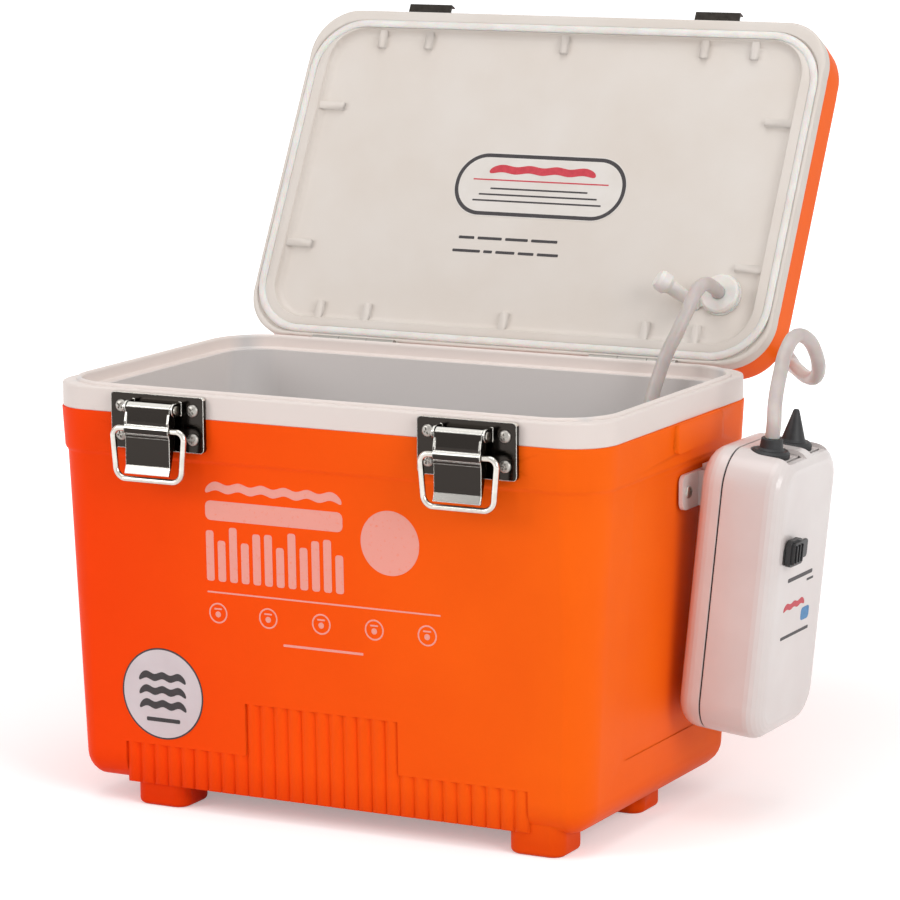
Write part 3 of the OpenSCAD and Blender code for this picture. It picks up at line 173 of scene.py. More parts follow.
def active(piece):
    """Selects one object alone and makes it active."""
    bpy.ops.object.select_all(action="DESELECT")
    piece.select_set(True)
    bpy.context.view_layer.objects.active = piece
    return piece


def hose(name, route):
    """A round tube along a route, and the closely spaced points that it follows."""
    curve = bpy.data.curves.new(name, "CURVE")
    curve.dimensions = "3D"
    spline = curve.splines.new("BEZIER")
    spline.bezier_points.add(len(route) - 1)
    for knot, place in zip(spline.bezier_points, route):
        knot.co = place
        knot.handle_left_type = knot.handle_right_type = "AUTO"
    curve.bevel_depth = HOSE_R
    curve.bevel_resolution = 6
    curve.resolution_u = 8
    curve.use_fill_caps = True
    piece = bpy.data.objects.new(name, curve)
    bpy.context.scene.collection.objects.link(piece)
    bpy.context.view_layer.update()
    knots = spline.bezier_points
    line = [route[0]]
    for a, b in zip(knots[:-1], knots[1:]):
        line += interpolate_bezier(a.co, a.handle_right, b.handle_left, b.co, 9)[1:]
    active(piece)
    bpy.ops.object.convert(target="MESH")
    bpy.ops.object.shade_smooth()
    piece = bpy.context.object
    piece.name = name
    return piece, line


def length(line):
    return sum((b - a).length for a, b in zip(line[:-1], line[1:]))


outer_hose, outer_line = hose("air_hose_outside", outer_route)
inner_hose, inner_line = hose("air_hose_inside", inner_route)
metres((186, 34, 216.6))
metres((121.8, 168.2, 213.6))
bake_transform(outer_hose)
metres((117, 99, 248.5))
metres((103, 65, 192.5))
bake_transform(inner_hose)
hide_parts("outer_hose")
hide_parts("inner_hose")
print("hoses", round(length(outer_line), 3), "m and", round(length(inner_line), 3), "m")

# %% [markdown]
# ## Floor, world and lamps
# A plain pale sweep and large soft lamps keep the colours as they are written. What the camera sees
# beyond the object is white, and so is what metal mirrors, but that whiteness is kept away from the
# light on the object. The floor still takes the object's soft shadow.

# %% A helper for materials
def linear(hex_colour):
    """An sRGB hex colour as linear light, with alpha 1."""
    parts = [int(hex_colour[i:i + 2], 16) / 255 for i in (1, 3, 5)]
    return [c / 12.92 if c <= 0.04045 else ((c + 0.055) / 1.055) ** 2.4 for c in parts] + [1]


def add(tree, kind, inputs=None, **settings):
    """Adds one node. inputs gives sockets by name or number: a value, or another node's output."""
    made = tree.nodes.new("ShaderNode" + kind)
    for name, value in settings.items():
        setattr(made, name, value)
    for name, value in (inputs or {}).items():
        if isinstance(value, bpy.types.NodeSocket):
            tree.links.new(value, made.inputs[name])
        else:
            made.inputs[name].default_value = value
    return made


def new_material(name):
    """An empty node material and its output."""
    material = bpy.data.materials.new(name)
    material.use_nodes = True
    tree = material.node_tree
    tree.nodes.clear()
    return material, tree, tree.nodes.new("ShaderNodeOutputMaterial")


def seen_directly(tree):
    """1 for rays from the camera, off a mirror or through clear matter, and otherwise 0."""
    path = add(tree, "LightPath")
    rays = [path.outputs[f"Is {kind} Ray"] for kind in ("Camera", "Glossy", "Transmission")]
    seen = add(tree, "Math", {0: rays[0], 1: rays[1]}, operation="MAXIMUM")
    return add(tree, "Math", {0: seen.outputs[0], 1: rays[2]}, operation="MAXIMUM").outputs[0]


print("white is", linear("#FFFFFF"))

# %% Floor
NEAR_LIFT, FAR_LIFT = 0.3, 0.75
FADE_START, FADE_END = 0.3, 1.3
bpy.ops.mesh.primitive_plane_add(size=24, location=(0, 4, 0))
floor = bpy.context.object
bpy.ops.object.transform_apply()
floor.name = "studio_floor"
paper, tree, out = new_material("matt_white_paper")
seen = seen_directly(tree)
spot = add(tree, "TexCoord").outputs["Object"]
apart = add(tree, "VectorMath", {0: spot}, operation="LENGTH")
fade = add(tree, "MapRange", {"Value": apart.outputs["Value"], "From Min": FADE_START,
                              "From Max": FADE_END, "To Min": NEAR_LIFT, "To Max": FAR_LIFT})
lift = add(tree, "Math", {0: seen, 1: fade.outputs[0]}, operation="MULTIPLY")
matt = add(tree, "BsdfDiffuse", {"Color": linear("#F4F4F4"), "Roughness": 0.4})
glow = add(tree, "Emission", {"Color": linear("#FFFFFF"), "Strength": lift.outputs[0]})
both = add(tree, "AddShader", {0: matt.outputs[0], 1: glow.outputs[0]})
tree.links.new(both.outputs[0], out.inputs["Surface"])
floor.data.materials.append(paper)
print("floor", [round(v, 1) for v in floor.dimensions])

# %% World
SKY_STRENGTH = 0.53
world = bpy.data.worlds.new("studio")
bpy.context.scene.world = world
world.use_nodes = True
tree = world.node_tree
tree.nodes.clear()
seen = seen_directly(tree)
sky = add(tree, "Background", {"Color": linear("#FFFFFF"), "Strength": SKY_STRENGTH})
white = add(tree, "Background", {"Color": linear("#FFFFFF"), "Strength": 1.0})
pick = add(tree, "MixShader", {0: seen, 1: sky.outputs[0], 2: white.outputs[0]})
end = tree.nodes.new("ShaderNodeOutputWorld")
tree.links.new(pick.outputs[0], end.inputs["Surface"])
bpy.context.scene.view_settings.view_transform = "Standard"
print("world strength", sky.inputs["Strength"].default_value)


# %% Lamps
def soft_lamp(name, place, target, size, power):
    """A square area lamp that faces a target."""
    bpy.ops.object.light_add(type="AREA", location=place)
    lamp = bpy.context.object
    lamp.name = name
    lamp.data.shape = "SQUARE"
    lamp.data.size = size
    lamp.data.energy = power
    lamp.rotation_euler = (Vector(target) - Vector(place)).to_track_quat("-Z", "Y").to_euler()
    return lamp


soft_lamp("lamp_top", (0.1, -0.2, 1.9), (0, 0, 0.15), 1.3, 10)
soft_lamp("lamp_front_left", (-1.5, -1.7, 1.1), (0, 0, 0.15), 1.0, 12.5)
soft_lamp("lamp_right", (1.9, -0.9, 1.0), (0, 0, 0.15), 1.0, 15)
print("three soft lamps")

# %% [markdown]
# ## Materials
# Each material starts from what the real one is. Colours are sRGB values, pattern sizes are real
# millimetres, and Object coordinates keep each pattern fixed to its piece. A Bevel node softens the
# sharp CAD edges in the shading, so that they catch a thin line of light as moulded edges do.


# %% Pieces that most materials share
def surface(name, base, roughness, **settings):
    """A Principled material, its tree and its shader, with Object coordinates ready."""
    material, tree, out = new_material(name)
    shader = add(tree, "BsdfPrincipled", {"Base Color": linear(base), "Roughness": roughness})
    for socket, value in settings.items():
        shader.inputs[socket.replace("_", " ")].default_value = value
    tree.links.new(shader.outputs[0], out.inputs["Surface"])
    place = add(tree, "TexCoord").outputs["Object"]
    material.diffuse_color = linear(base)
    return material, tree, shader, place


def mottle(tree, place, shader, low, high, size_mm):
    """Lets the colour wander between two values over patches of a real size."""
    cloud = add(tree, "TexNoise", {"Vector": place, "Scale": 1000 / size_mm, "Detail": 3})
    ramp = add(tree, "ValToRGB", {"Fac": cloud.outputs["Fac"]})
    ramp.color_ramp.elements[0].position, ramp.color_ramp.elements[1].position = 0.3, 0.7
    ramp.color_ramp.elements[0].color, ramp.color_ramp.elements[1].color = linear(low), linear(high)
    tree.links.new(ramp.outputs["Color"], shader.inputs["Base Color"])


def grain(tree, place, shader, size_mm, height_mm, edge_mm=0.0):
    """Fine relief of a real size and height, over edges that are rounded in the shading."""
    bumps = add(tree, "TexNoise", {"Vector": place, "Scale": 1000 / size_mm, "Detail": 2})
    relief = add(tree, "Bump", {"Height": bumps.outputs["Fac"], "Distance": height_mm * MM})
    if edge_mm:
        edge = add(tree, "Bevel", {"Radius": edge_mm * MM}, samples=4)
        tree.links.new(edge.outputs["Normal"], relief.inputs["Normal"])
    tree.links.new(relief.outputs["Normal"], shader.inputs["Normal"])


def two_tone(tree, shader, factor, low, high):
    """Paints a shader with two colours, mixed by a factor."""
    tone = add(tree, "Mix", {"Factor": factor}, data_type="RGBA")
    tone.inputs[6].default_value, tone.inputs[7].default_value = linear(low), linear(high)
    tree.links.new(tone.outputs[2], shader.inputs["Base Color"])
    return tone


def skin(name, base, roughness, patches, patch_mm, grain_mm, height_mm, edge_mm=0.0, **settings):
    """A material whose colour wanders between two values under a fine grain."""
    material, tree, shader, place = surface(name, base, roughness, **settings)
    mottle(tree, place, shader, *patches, patch_mm)
    grain(tree, place, shader, grain_mm, height_mm, edge_mm)
    return material


print("helpers for colour and relief")

# %% [markdown]
# The outer shell and the lid's crown are injection-moulded polyethylene in safety orange: dense colour,
# a satin skin with a fine leathery grain, and slightly cloudy patches where the melt flowed. Towards the
# pump's end the colour turns yellower, which is painted light, and on the feet it is deeper, which is
# painted shade.

# %% Orange polyethylene
CLOUD_SHARE, FOOT_SHADE_SHARE = 0.12, 0.5
SHADE_FROM_Z, SHADE_DARKEST_Z = 0.03, 0.006
orange, tree, shader, place = surface("orange_polyethylene", "#FF4E04", 0.45, Specular_IOR_Level=0.07)
spread = add(tree, "SeparateXYZ", {"Vector": place})
# Painted light: along X the orange turns yellower towards the pump's end, the end that is lit.
along = add(tree, "MapRange", {"Value": spread.outputs["X"], "From Min": -0.15, "From Max": 0.15})
painted_end_light = add(tree, "ValToRGB", {"Fac": along.outputs[0]})
painted_end_light.color_ramp.elements[0].color = linear("#FF4000")
painted_end_light.color_ramp.elements[1].color = linear("#FF6A0E")
cloud = add(tree, "TexNoise", {"Vector": place, "Scale": 1000 / 60, "Detail": 3})
deep = add(tree, "MapRange", {"Value": cloud.outputs["Fac"], "From Min": 0.3, "From Max": 0.7,
                              "To Max": CLOUD_SHARE})
# Painted shade: below 30 mm the orange deepens towards the feet, where less light reaches near the floor.
low = add(tree, "MapRange", {"Value": spread.outputs["Z"], "From Min": SHADE_FROM_Z, "From Max": SHADE_DARKEST_Z,
                             "To Max": FOOT_SHADE_SHARE})
# The deeper colour takes the larger of the real cloudy patches and the painted shade on the feet.
clouds_and_foot_shade = add(tree, "Math", {0: deep.outputs[0], 1: low.outputs[0]}, operation="MAXIMUM")
tone = two_tone(tree, shader, clouds_and_foot_shade.outputs[0], "#FF4E04", "#D02400")
tree.links.new(painted_end_light.outputs["Color"], tone.inputs[6])
grain(tree, place, shader, 0.9, 0.05, edge_mm=0.5)
print(orange.name)

# %% [markdown]
# The liner, the band and the inside of the lid are off-white polypropylene. It is smoother than the
# shell and has a faint warm unevenness, with a soft sheen on the ribs and the cove. The mould's core
# Inside the tub the liner's colour is a little greyer than on its band.

# %% White polypropylene
INSIDE_X, OUTSIDE_X = 0.136, 0.141
INSIDE_Y, OUTSIDE_Y = 0.079, 0.084
white_pp = skin("white_polypropylene", "#D9D0C8", 0.38, ("#D7CDC4", "#DCD4CD"), 45, 2.2, 0.03, 0.5,
                Specular_IOR_Level=0.3)

liner_pp, tree, shader, place = surface("matt_white_polypropylene", "#D3CCC9", 0.42,
                                        Specular_IOR_Level=0.3)
# Greyer inside the tub, paler on the outer band.
size = add(tree, "VectorMath", {0: place}, operation="ABSOLUTE")
halves = add(tree, "SeparateXYZ", {"Vector": size.outputs[0]})
wide = add(tree, "MapRange", {"Value": halves.outputs["X"], "From Min": INSIDE_X, "From Max": OUTSIDE_X})
deep = add(tree, "MapRange", {"Value": halves.outputs["Y"], "From Min": INSIDE_Y, "From Max": OUTSIDE_Y})
outside = add(tree, "Math", {0: wide.outputs[0], 1: deep.outputs[0]}, operation="MAXIMUM")
two_tone(tree, shader, outside.outputs[0], "#D3CECC", "#E6DAD4")
grain(tree, place, shader, 2.2, 0.03, edge_mm=0.5)
print(white_pp.name, liner_pp.name)

# %% [markdown]
# The latches are pressed from stainless sheet and polished. Their broad faces take a low colour, a
# painted dark reflection of the room, and their folded edges and their upward rolls and shoulders take
# a near-white painted highlight. A Bevel node compared with the true normal finds the edges, and the
# normal's own height finds the shoulders. Low on the lever the painted highlight stays dimmer.

# %% Polished stainless sheet and wire
# Heights over which the painted highlight on the lever's lip fades to a share of its strength.
LIP_LOW_Z, LIP_TOP_Z, LIP_HIGHLIGHT_SHARE = 0.175, 0.185, 0.3
# Painted dark reflection: the broad faces take a low colour in place of the room that they mirror.
sheet_steel, tree, shader, place = surface("polished_stainless_sheet", "#34302D", 0.16, Metallic=1.0)
edge = add(tree, "Bevel", {"Radius": 0.6 * MM}, samples=4)
flat = add(tree, "NewGeometry").outputs["Normal"]
turn = add(tree, "VectorMath", {0: edge.outputs["Normal"], 1: flat}, operation="DOT_PRODUCT")
# Painted highlight: edges that the Bevel finds turn near-white.
painted_edge_highlight = add(tree, "MapRange", {"Value": turn.outputs["Value"], "From Min": 0.995, "From Max": 0.93})
# Painted highlight: faces that tilt upwards, the rolls and shoulders, turn near-white, less so low on the
# lever.
up = add(tree, "SeparateXYZ", {"Vector": flat})
band = add(tree, "MapRange", {"Value": up.outputs["Z"], "From Min": 0.18, "From Max": 0.32})
height = add(tree, "SeparateXYZ", {"Vector": place})
lip_highlight_fade = add(tree, "MapRange", {"Value": height.outputs["Z"], "From Min": LIP_LOW_Z, "From Max": LIP_TOP_Z,
                             "To Min": LIP_HIGHLIGHT_SHARE})
band = add(tree, "Math", {0: band.outputs[0], 1: lip_highlight_fade.outputs[0]}, operation="MULTIPLY")
painted_highlights = add(tree, "Math", {0: painted_edge_highlight.outputs[0], 1: band.outputs[0]}, operation="MAXIMUM")
# Low colour is the painted dark reflection, near-white the painted highlights.
two_tone(tree, shader, painted_highlights.outputs[0], "#34302D", "#E9E6DF")
brush = add(tree, "TexNoise", {"Vector": place, "Scale": 2500, "Detail": 2})
scuff = add(tree, "Bump", {"Height": brush.outputs["Fac"], "Distance": 0.004 * MM,
                           "Normal": edge.outputs["Normal"]})
tree.links.new(scuff.outputs["Normal"], shader.inputs["Normal"])

# The keepers' steel takes a low colour too, painted shade in place of the steel's own brightness.
keeper_steel = skin("shaded_stainless_sheet", "#3A3633", 0.3, ("#35312E", "#423E3A"), 3, 0.6, 0.004, 0.4,
                    Metallic=1.0)
wire_steel = skin("polished_stainless_wire", "#CFCAC2", 0.16, ("#C6C1B9", "#D6D2CA"), 4, 0.6, 0.004,
                  Metallic=1.0)
print(sheet_steel.name, wire_steel.name)

# %% [markdown]
# Screws and hinge leaves are plain stainless with a duller, slightly brushed skin.

# %% Brushed stainless
dull_steel, tree, shader, place = surface("brushed_stainless", "#A8A49E", 0.34, Metallic=1.0)
stretch = add(tree, "Mapping", {"Vector": place, "Scale": (0.08, 1, 1)})
lines = add(tree, "TexNoise", {"Vector": stretch.outputs[0], "Scale": 3000, "Detail": 3})
rough = add(tree, "MapRange", {"Value": lines.outputs["Fac"], "To Min": 0.26, "To Max": 0.42})
tree.links.new(rough.outputs[0], shader.inputs["Roughness"])
grain(tree, place, shader, 0.5, 0.006, edge_mm=0.25)
print(dull_steel.name)

# %% [markdown]
# The pump's case is glossy white ABS. A thin coat gives it the sharp highlight of moulded ABS, and very
# shallow waves in the surface keep its broad sides from looking like a perfect mirror.

# %% White ABS
case_abs = skin("white_abs", "#DDD4D1", 0.3, ("#DAD0CD", "#E0D8D5"), 30, 9, 0.03, 0.5,
                Coat_Weight=0.35, Coat_Roughness=0.12)
print(case_abs.name)

# %% [markdown]
# The hose, the grommet and the spare plug are translucent silicone. Light enters the milky wall and
# scatters, so the shader mixes subsurface scattering with some clear transmission.

# %% Translucent silicone
clear_silicone = skin(
    "translucent_silicone_tube", "#D3CAC6", 0.28, ("#CBC1BD", "#DAD2CE"), 12, 3, 0.05,
    Subsurface_Weight=0.45, Subsurface_Scale=0.004, Transmission_Weight=0.22, IOR=1.41)
milky_silicone = skin(
    "milky_silicone_rubber", "#E3DED9", 0.33, ("#DED8D2", "#E8E4E0"), 10, 1.5, 0.03, 0.4,
    Subsurface_Weight=0.4, Subsurface_Scale=0.003, IOR=1.41)
print(clear_silicone.name, milky_silicone.name)

# %% [markdown]
# Boots, seal and diaphragm are black rubber, which is matt and slightly dusty. The switch is black
# acetal, which is a little glossier and has spark-eroded grain.

# %% Black rubber and black acetal
black_rubber = skin("black_nitrile_rubber", "#1B1B1D", 0.5, ("#161618", "#232325"), 3, 0.5, 0.03, 0.3)
black_acetal = skin("black_acetal", "#1D1C1D", 0.38, ("#191819", "#232223"), 2, 0.4, 0.02, 0.4)
print(black_rubber.name, black_acetal.name)

# %% [markdown]
# The foam in the walls is expanded polystyrene, a mass of pressed beads 3 to 4 mm across. A Voronoi
# texture gives each bead its own cell, a dent at its border and a slightly different white.

# %% Expanded polystyrene
BEAD_MM = 3.5
foam, tree, shader, place = surface("expanded_polystyrene", "#F1EEE4", 0.7)
beads = add(tree, "TexVoronoi", {"Vector": place, "Scale": 1000 / BEAD_MM}, feature="DISTANCE_TO_EDGE")
dent = add(tree, "MapRange", {"Value": beads.outputs["Distance"], "From Max": 0.12})
pits = add(tree, "Bump", {"Height": dent.outputs[0], "Distance": 0.25 * MM})
tree.links.new(pits.outputs["Normal"], shader.inputs["Normal"])
cells = add(tree, "TexVoronoi", {"Vector": place, "Scale": 1000 / BEAD_MM})
shade = add(tree, "MapRange", {"Value": cells.outputs["Color"], "To Min": 0.94, "To Max": 1.0})
two_tone(tree, shader, shade.outputs[0], "#D9D6CC", "#F4F1E8")
print(foam.name)

# %% [markdown]
# Inside the pump are a steel motor can, a brass crank, two battery cells in printed steel jackets and
# an air chamber of natural acetal. They show only where the case is opened, but each has its finish.

# %% Materials inside the pump
motor_steel = skin("zinc_plated_steel", "#8E8F90", 0.32, ("#85878A", "#9A9A98"), 5, 0.5, 0.01, 0.3,
                   Metallic=1.0)

brass, tree, shader, place = surface("turned_brass", "#C9A55A", 0.28, Metallic=1.0)
mottle(tree, place, shader, "#BE9A50", "#D1AE64", 2)
rings = add(tree, "TexWave", {"Vector": place, "Scale": 900}, bands_direction="Z")
turned = add(tree, "Bump", {"Height": rings.outputs["Fac"], "Distance": 0.01 * MM})
tree.links.new(turned.outputs["Normal"], shader.inputs["Normal"])

jacket = skin("lacquered_battery_steel", "#2F4252", 0.3, ("#2B3D4C", "#34495B"), 8, 1.2, 0.01, 0.4,
              Coat_Weight=0.5)
acetal = skin("natural_acetal", "#D8D4CA", 0.42, ("#D2CEC3", "#DEDAD1"), 8, 0.7, 0.03, 0.3,
              Subsurface_Weight=0.15, Subsurface_Scale=0.002)
print(motor_steel.name, brass.name, jacket.name, acetal.name)

# %% [markdown]
# The air stone is sintered corundum: blue-grey grit of about half a millimetre, pressed and fired, with
# open pores between the grains where the air comes out.

# %% Sintered stone
stone, tree, shader, place = surface("sintered_corundum", "#7D8A93", 0.85)
grit = add(tree, "TexVoronoi", {"Vector": place, "Scale": 1000 / 0.7})
two_tone(tree, shader, grit.outputs["Color"], "#68757E", "#95A1A8")
pores = add(tree, "Bump", {"Height": grit.outputs["Distance"], "Distance": 0.4 * MM})
tree.links.new(pores.outputs["Normal"], shader.inputs["Normal"])
print(stone.name)

# %% Give every solid its material
finishes = {
    orange: ["tub_shell", "lid_shell"],
    white_pp: ["lid_liner"],
    liner_pp: ["tub_liner"],
    sheet_steel: ["latch_plate_left", "latch_plate_right", "lever_left", "lever_right",
                  "keeper_left", "keeper_right"],
    wire_steel: ["bail_left", "bail_right", "lever_pins"],
    dull_steel: ["tub_hinge_leaves", "hinge_pins", "lid_hinge_leaf_left", "lid_hinge_leaf_right",
                 "case_screws", "latch_screws", "tub_hinge_screws", "lid_hinge_screws",
                 "keeper_screws", "bracket_screws"],
    case_abs: ["pump_bracket", "pump_hook", "pump_back_shell", "pump_front_shell"],
    milky_silicone: ["lid_seal", "port_grommet", "port_plug"],
    black_rubber: ["pump_seal", "diaphragm", "nozzle_cap", "nozzle_socket"],
    black_acetal: ["switch_plate", "switch_knob"],
    foam: ["tub_foam", "lid_foam"],
    motor_steel: ["pump_motor", "battery_contacts"],
    brass: ["pump_crank"],
    jacket: ["battery_cells"],
    acetal: ["air_chamber"],
    stone: ["air_stone"],
}


def dress(piece, material):
    """Puts one material in every slot of a piece."""
    if not piece.material_slots:
        piece.data.materials.append(material)
    for place_in in piece.material_slots:
        place_in.material = material


for material, names in finishes.items():
    for name in names:
        dress(nodes[name], material)
dress(outer_hose, clear_silicone)
dress(inner_hose, clear_silicone)
print(sum(len(v) for v in finishes.values()), "solids dressed")

# %% [markdown]
# ## Crossed screw heads
# Every plate is held by small pan-head screws. One head is modelled: a short cylinder whose top is inset
# and raised in steps to a low dome, with a cross cut out of it by two boolean cutters. It is then copied
# to where each CAD screw is, which is read from the solids themselves, and stands in their place.


# %% One screw
def settle(piece, name, material, smooth=35):
    """Puts a piece's place into its mesh, names it, dresses it and smooths its faces."""
    active(piece)
    bpy.ops.object.transform_apply(location=True, rotation=True, scale=True)
    if smooth:
        bpy.ops.object.shade_smooth_by_angle(angle=math.radians(smooth))
    piece.name = name
    dress(piece, material)
    return piece


def cut(piece, cutter):
    """Takes the cutter's shape out of a piece and throws the cutter away."""
    active(piece)
    knife = piece.modifiers.new("cut", "BOOLEAN")
    knife.object, knife.operation, knife.solver = cutter, "DIFFERENCE", "EXACT"
    bpy.ops.object.modifier_apply(modifier=knife.name)
    bpy.data.objects.remove(cutter)


def pick_faces(piece, test):
    """Selects the faces whose centre and normal pass a test, in edit mode."""
    bpy.ops.object.mode_set(mode="OBJECT")
    for face in piece.data.polygons:
        face.select = test(face.center, face.normal)
    for item in (*piece.data.edges, *piece.data.vertices):
        item.select = False
    bpy.ops.object.mode_set(mode="EDIT")
    bpy.ops.mesh.select_mode(type="FACE")


SCREW_R, SCREW_LONG, SCREW_MIDDLE, HEAD_TOP = 3.0, 6.0, -2.5, 1.58
DOME_STEPS = ((0.35, 0.42), (0.6, 0.36), (0.8, 0.22), (0.7, 0.08))
CROSS_LONG, CROSS_WIDE, CROSS_DEEP, CROSS_AT = 3.4, 0.8, 1.7, 1.5
bpy.ops.mesh.primitive_cylinder_add(
    vertices=32, radius=SCREW_R * MM, depth=SCREW_LONG * MM, location=(0, 0, SCREW_MIDDLE * MM))
screw = bpy.context.object
bpy.ops.object.transform_apply()
bpy.ops.object.mode_set(mode="EDIT")
bpy.ops.mesh.select_all(action="DESELECT")
pick_faces(screw, lambda centre, normal: normal.z > 0.9)
for inset, rise in DOME_STEPS:
    bpy.ops.mesh.inset(thickness=inset * MM, depth=rise * MM)
bpy.ops.object.mode_set(mode="OBJECT")
for turn_by in (0, math.pi / 2):
    bpy.ops.mesh.primitive_cube_add(size=1, location=(0, 0, CROSS_AT * MM))
    blade = bpy.context.object
    blade.scale = (CROSS_LONG * MM, CROSS_WIDE * MM, CROSS_DEEP * MM)
    blade.rotation_euler.z = turn_by
    cut(screw, blade)
print("screw head of", len(screw.data.polygons), "faces")


# %% Copies where the solids are
def merged_copy(node):
    """A free copy of a CAD node, active, with the points that its faces share merged."""
    copy = nodes[node].copy()
    copy.data = nodes[node].data.copy()
    copy.parent = None
    bpy.context.scene.collection.objects.link(copy)
    active(copy)
    bpy.ops.object.mode_set(mode="EDIT")
    bpy.ops.mesh.select_all(action="SELECT")
    bpy.ops.mesh.remove_doubles(threshold=1e-6)
    bpy.ops.object.mode_set(mode="OBJECT")
    return copy


def join(pieces):
    """Makes one object of several."""
    active(pieces[0])
    for piece in pieces:
        piece.select_set(True)
    bpy.ops.object.join()
    return bpy.context.object


def screw_places(node, direction):
    """Top of each screw's head in a CAD node, along the direction that the screws face."""
    merged_copy(node)
    bpy.ops.object.mode_set(mode="EDIT")
    bpy.ops.mesh.separate(type="LOOSE")
    bpy.ops.object.mode_set(mode="OBJECT")
    places = []
    for part in list(bpy.context.selected_objects):
        points = [v.co for v in part.data.vertices]
        middle = sum(points, Vector()) / len(points)
        top = max((p - middle).dot(direction) for p in points)
        places.append(middle + direction * top)
        bpy.data.objects.remove(part)
    return places


def drive_screws(node, direction, body):
    """Stands a crossed screw in the place of each solid of a CAD node."""
    direction = Vector(direction).normalized()
    turn = direction.to_track_quat("Z", "Y").to_matrix().to_4x4()
    made = []
    for n, place_at in enumerate(screw_places(node, direction)):
        one = screw.copy()
        one.data = screw.data.copy()
        spin = Matrix.Rotation(math.radians(17 + 37 * n), 4, "Z")
        one.matrix_world = Matrix.Translation(place_at - direction * HEAD_TOP * MM) @ turn @ spin
        bpy.context.scene.collection.objects.link(one)
        made.append(one)
    whole = settle(join(made), node + "_crossed", dull_steel, smooth=40)
    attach(whole, body)
    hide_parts(node)
    return len(made)


out_of_lid_back = lid_turn.to_3x3() @ Vector((0, 1, 0))
out_of_lid_front = lid_turn.to_3x3() @ Vector((0, -1, 0))
count = drive_screws("latch_screws", (0, -1, 0), "tub")
count += drive_screws("tub_hinge_screws", (0, 1, 0), "tub")
count += drive_screws("bracket_screws", (1, 0, 0), "tub")
count += drive_screws("lid_hinge_screws", out_of_lid_back, "lid")
count += drive_screws("keeper_screws", out_of_lid_front, "lid")
bpy.data.objects.remove(screw)
print(count, "crossed screws")

# %% [markdown]
# ## Shell, crown, inner panel and keepers
# The real tub's end walls draw in more towards the feet than the solids do, and its unseen back is
# taken to be alike. The lid has a narrow white band under a deep orange skirt, squarer upright corners,
# and lower keepers. These pieces start as copies of the CAD meshes, and the lid's are turned back to the
# closed lid. There, simple rules move their points, and the copies stand in for the solids.

# %% Measures for the rules
LID_OVERHANG = 3.5
LID_YC = -LID_OVERHANG / 2
ARC_R, SQUARE_R = 32, 25
LID_CX, LID_CY = RIM_W / 2 - ARC_R, (RIM_D + LID_OVERHANG) / 2 - ARC_R
LID_FRONT = -RIM_D / 2 - LID_OVERHANG
PARTING_Z, SKIRT_T = LID_Z + 6.8, 2.6
KEEPER_PLATE_T, HOOK_SHARE = 1.1, 0.6
TUB_CX, TUB_CY = RIM_W / 2 - RIM_CORNER, RIM_D / 2 - RIM_CORNER
FOOT_H, SKIN, FOAM_KEEPS = 11.5, 5, 7
to_closed = lid_turn.inverted()


def squarer(x, y):
    """Moves a point near an upright corner outwards, so that the corner's radius looks smaller."""
    dx, dy = abs(x) - LID_CX, abs(y - LID_YC) - LID_CY
    if dx <= 0 or dy <= 0:
        return x, y
    r, turn = math.hypot(dx, dy), math.atan2(dy, dx)
    shift = (ARC_R - SQUARE_R) * (math.cos(turn) + math.sin(turn))
    edge = shift + math.sqrt(max(SQUARE_R ** 2 - 2 * (ARC_R - SQUARE_R) ** 2 + shift ** 2, 0))
    grow = 1 + (max(edge, ARC_R) / ARC_R - 1) * min(r / ARC_R, 1) ** 6
    return (math.copysign(LID_CX + dx * grow, x), LID_YC + math.copysign(LID_CY + dy * grow, y - LID_YC))


def lid_rule(p):
    """Squarer corners, and a lower parting line between the crown and the band."""
    reach = max(abs(p.x) - LID_CX, abs(p.y - LID_YC) - LID_CY)
    if abs(p.x) > LID_CX and abs(p.y - LID_YC) > LID_CY:
        reach = math.hypot(abs(p.x) - LID_CX, abs(p.y - LID_YC) - LID_CY)
    z = PARTING_Z if abs(p.z - CROWN_Z) < 0.02 and reach > ARC_R - SKIRT_T else p.z
    return Vector((*squarer(p.x, p.y), z))


def keeper_rule(p):
    """A hook that stands out less far from the lid, in front of the keeper's own plate."""
    share = HOOK_SHARE if p.y < LID_FRONT - KEEPER_PLATE_T else 1
    return Vector((p.x, LID_FRONT + (p.y - LID_FRONT) * share, p.z))


def lean_more(draft):
    """How far a wall of this draft stands further in than the solid's, for each unit of height."""
    return math.tan(math.radians(draft)) - math.tan(math.radians(DRAFT))


def draws_in(start):
    """Rule for end walls and a back wall that lean more. Points within the start of their reach stay."""
    def rule(p):
        drop = WALL_TOP_Z - max(p.z, FOOT_H)
        dx, dy = max(abs(p.x) - TUB_CX, 0), max(abs(p.y) - TUB_CY, 0)
        reach = math.hypot(dx, dy)
        if drop <= 0 or reach <= start:
            return p
        skin = WALL_REACH - drop * math.tan(math.radians(DRAFT)) - SKIN
        part = drop * min((reach - start) / (skin - start), 1) / reach
        x = min(abs(p.x), TUB_CX) + dx * (1 - part * lean_more(END_DRAFT))
        y = min(abs(p.y), TUB_CY) + dy * (1 - part * (lean_more(BACK_DRAFT) if p.y > 0 else 0))
        return Vector((math.copysign(x, p.x), math.copysign(y, p.y), p.z))
    return rule


def reshape(node, name, material, rule, body="lid", turn=lid_turn):
    """A copy of a CAD node whose points a rule has moved, in the solid's place."""
    piece = merged_copy(node)
    back = turn.inverted()
    for v in piece.data.vertices:
        v.co = turn @ metres(rule((back @ v.co) / MM))
    settle(piece, name, material, smooth=30)
    even = piece.modifiers.new("even", "WEIGHTED_NORMAL")
    even.keep_sharp = True
    bpy.ops.object.modifier_apply(modifier=even.name)
    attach(piece, body)
    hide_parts(node)
    return piece


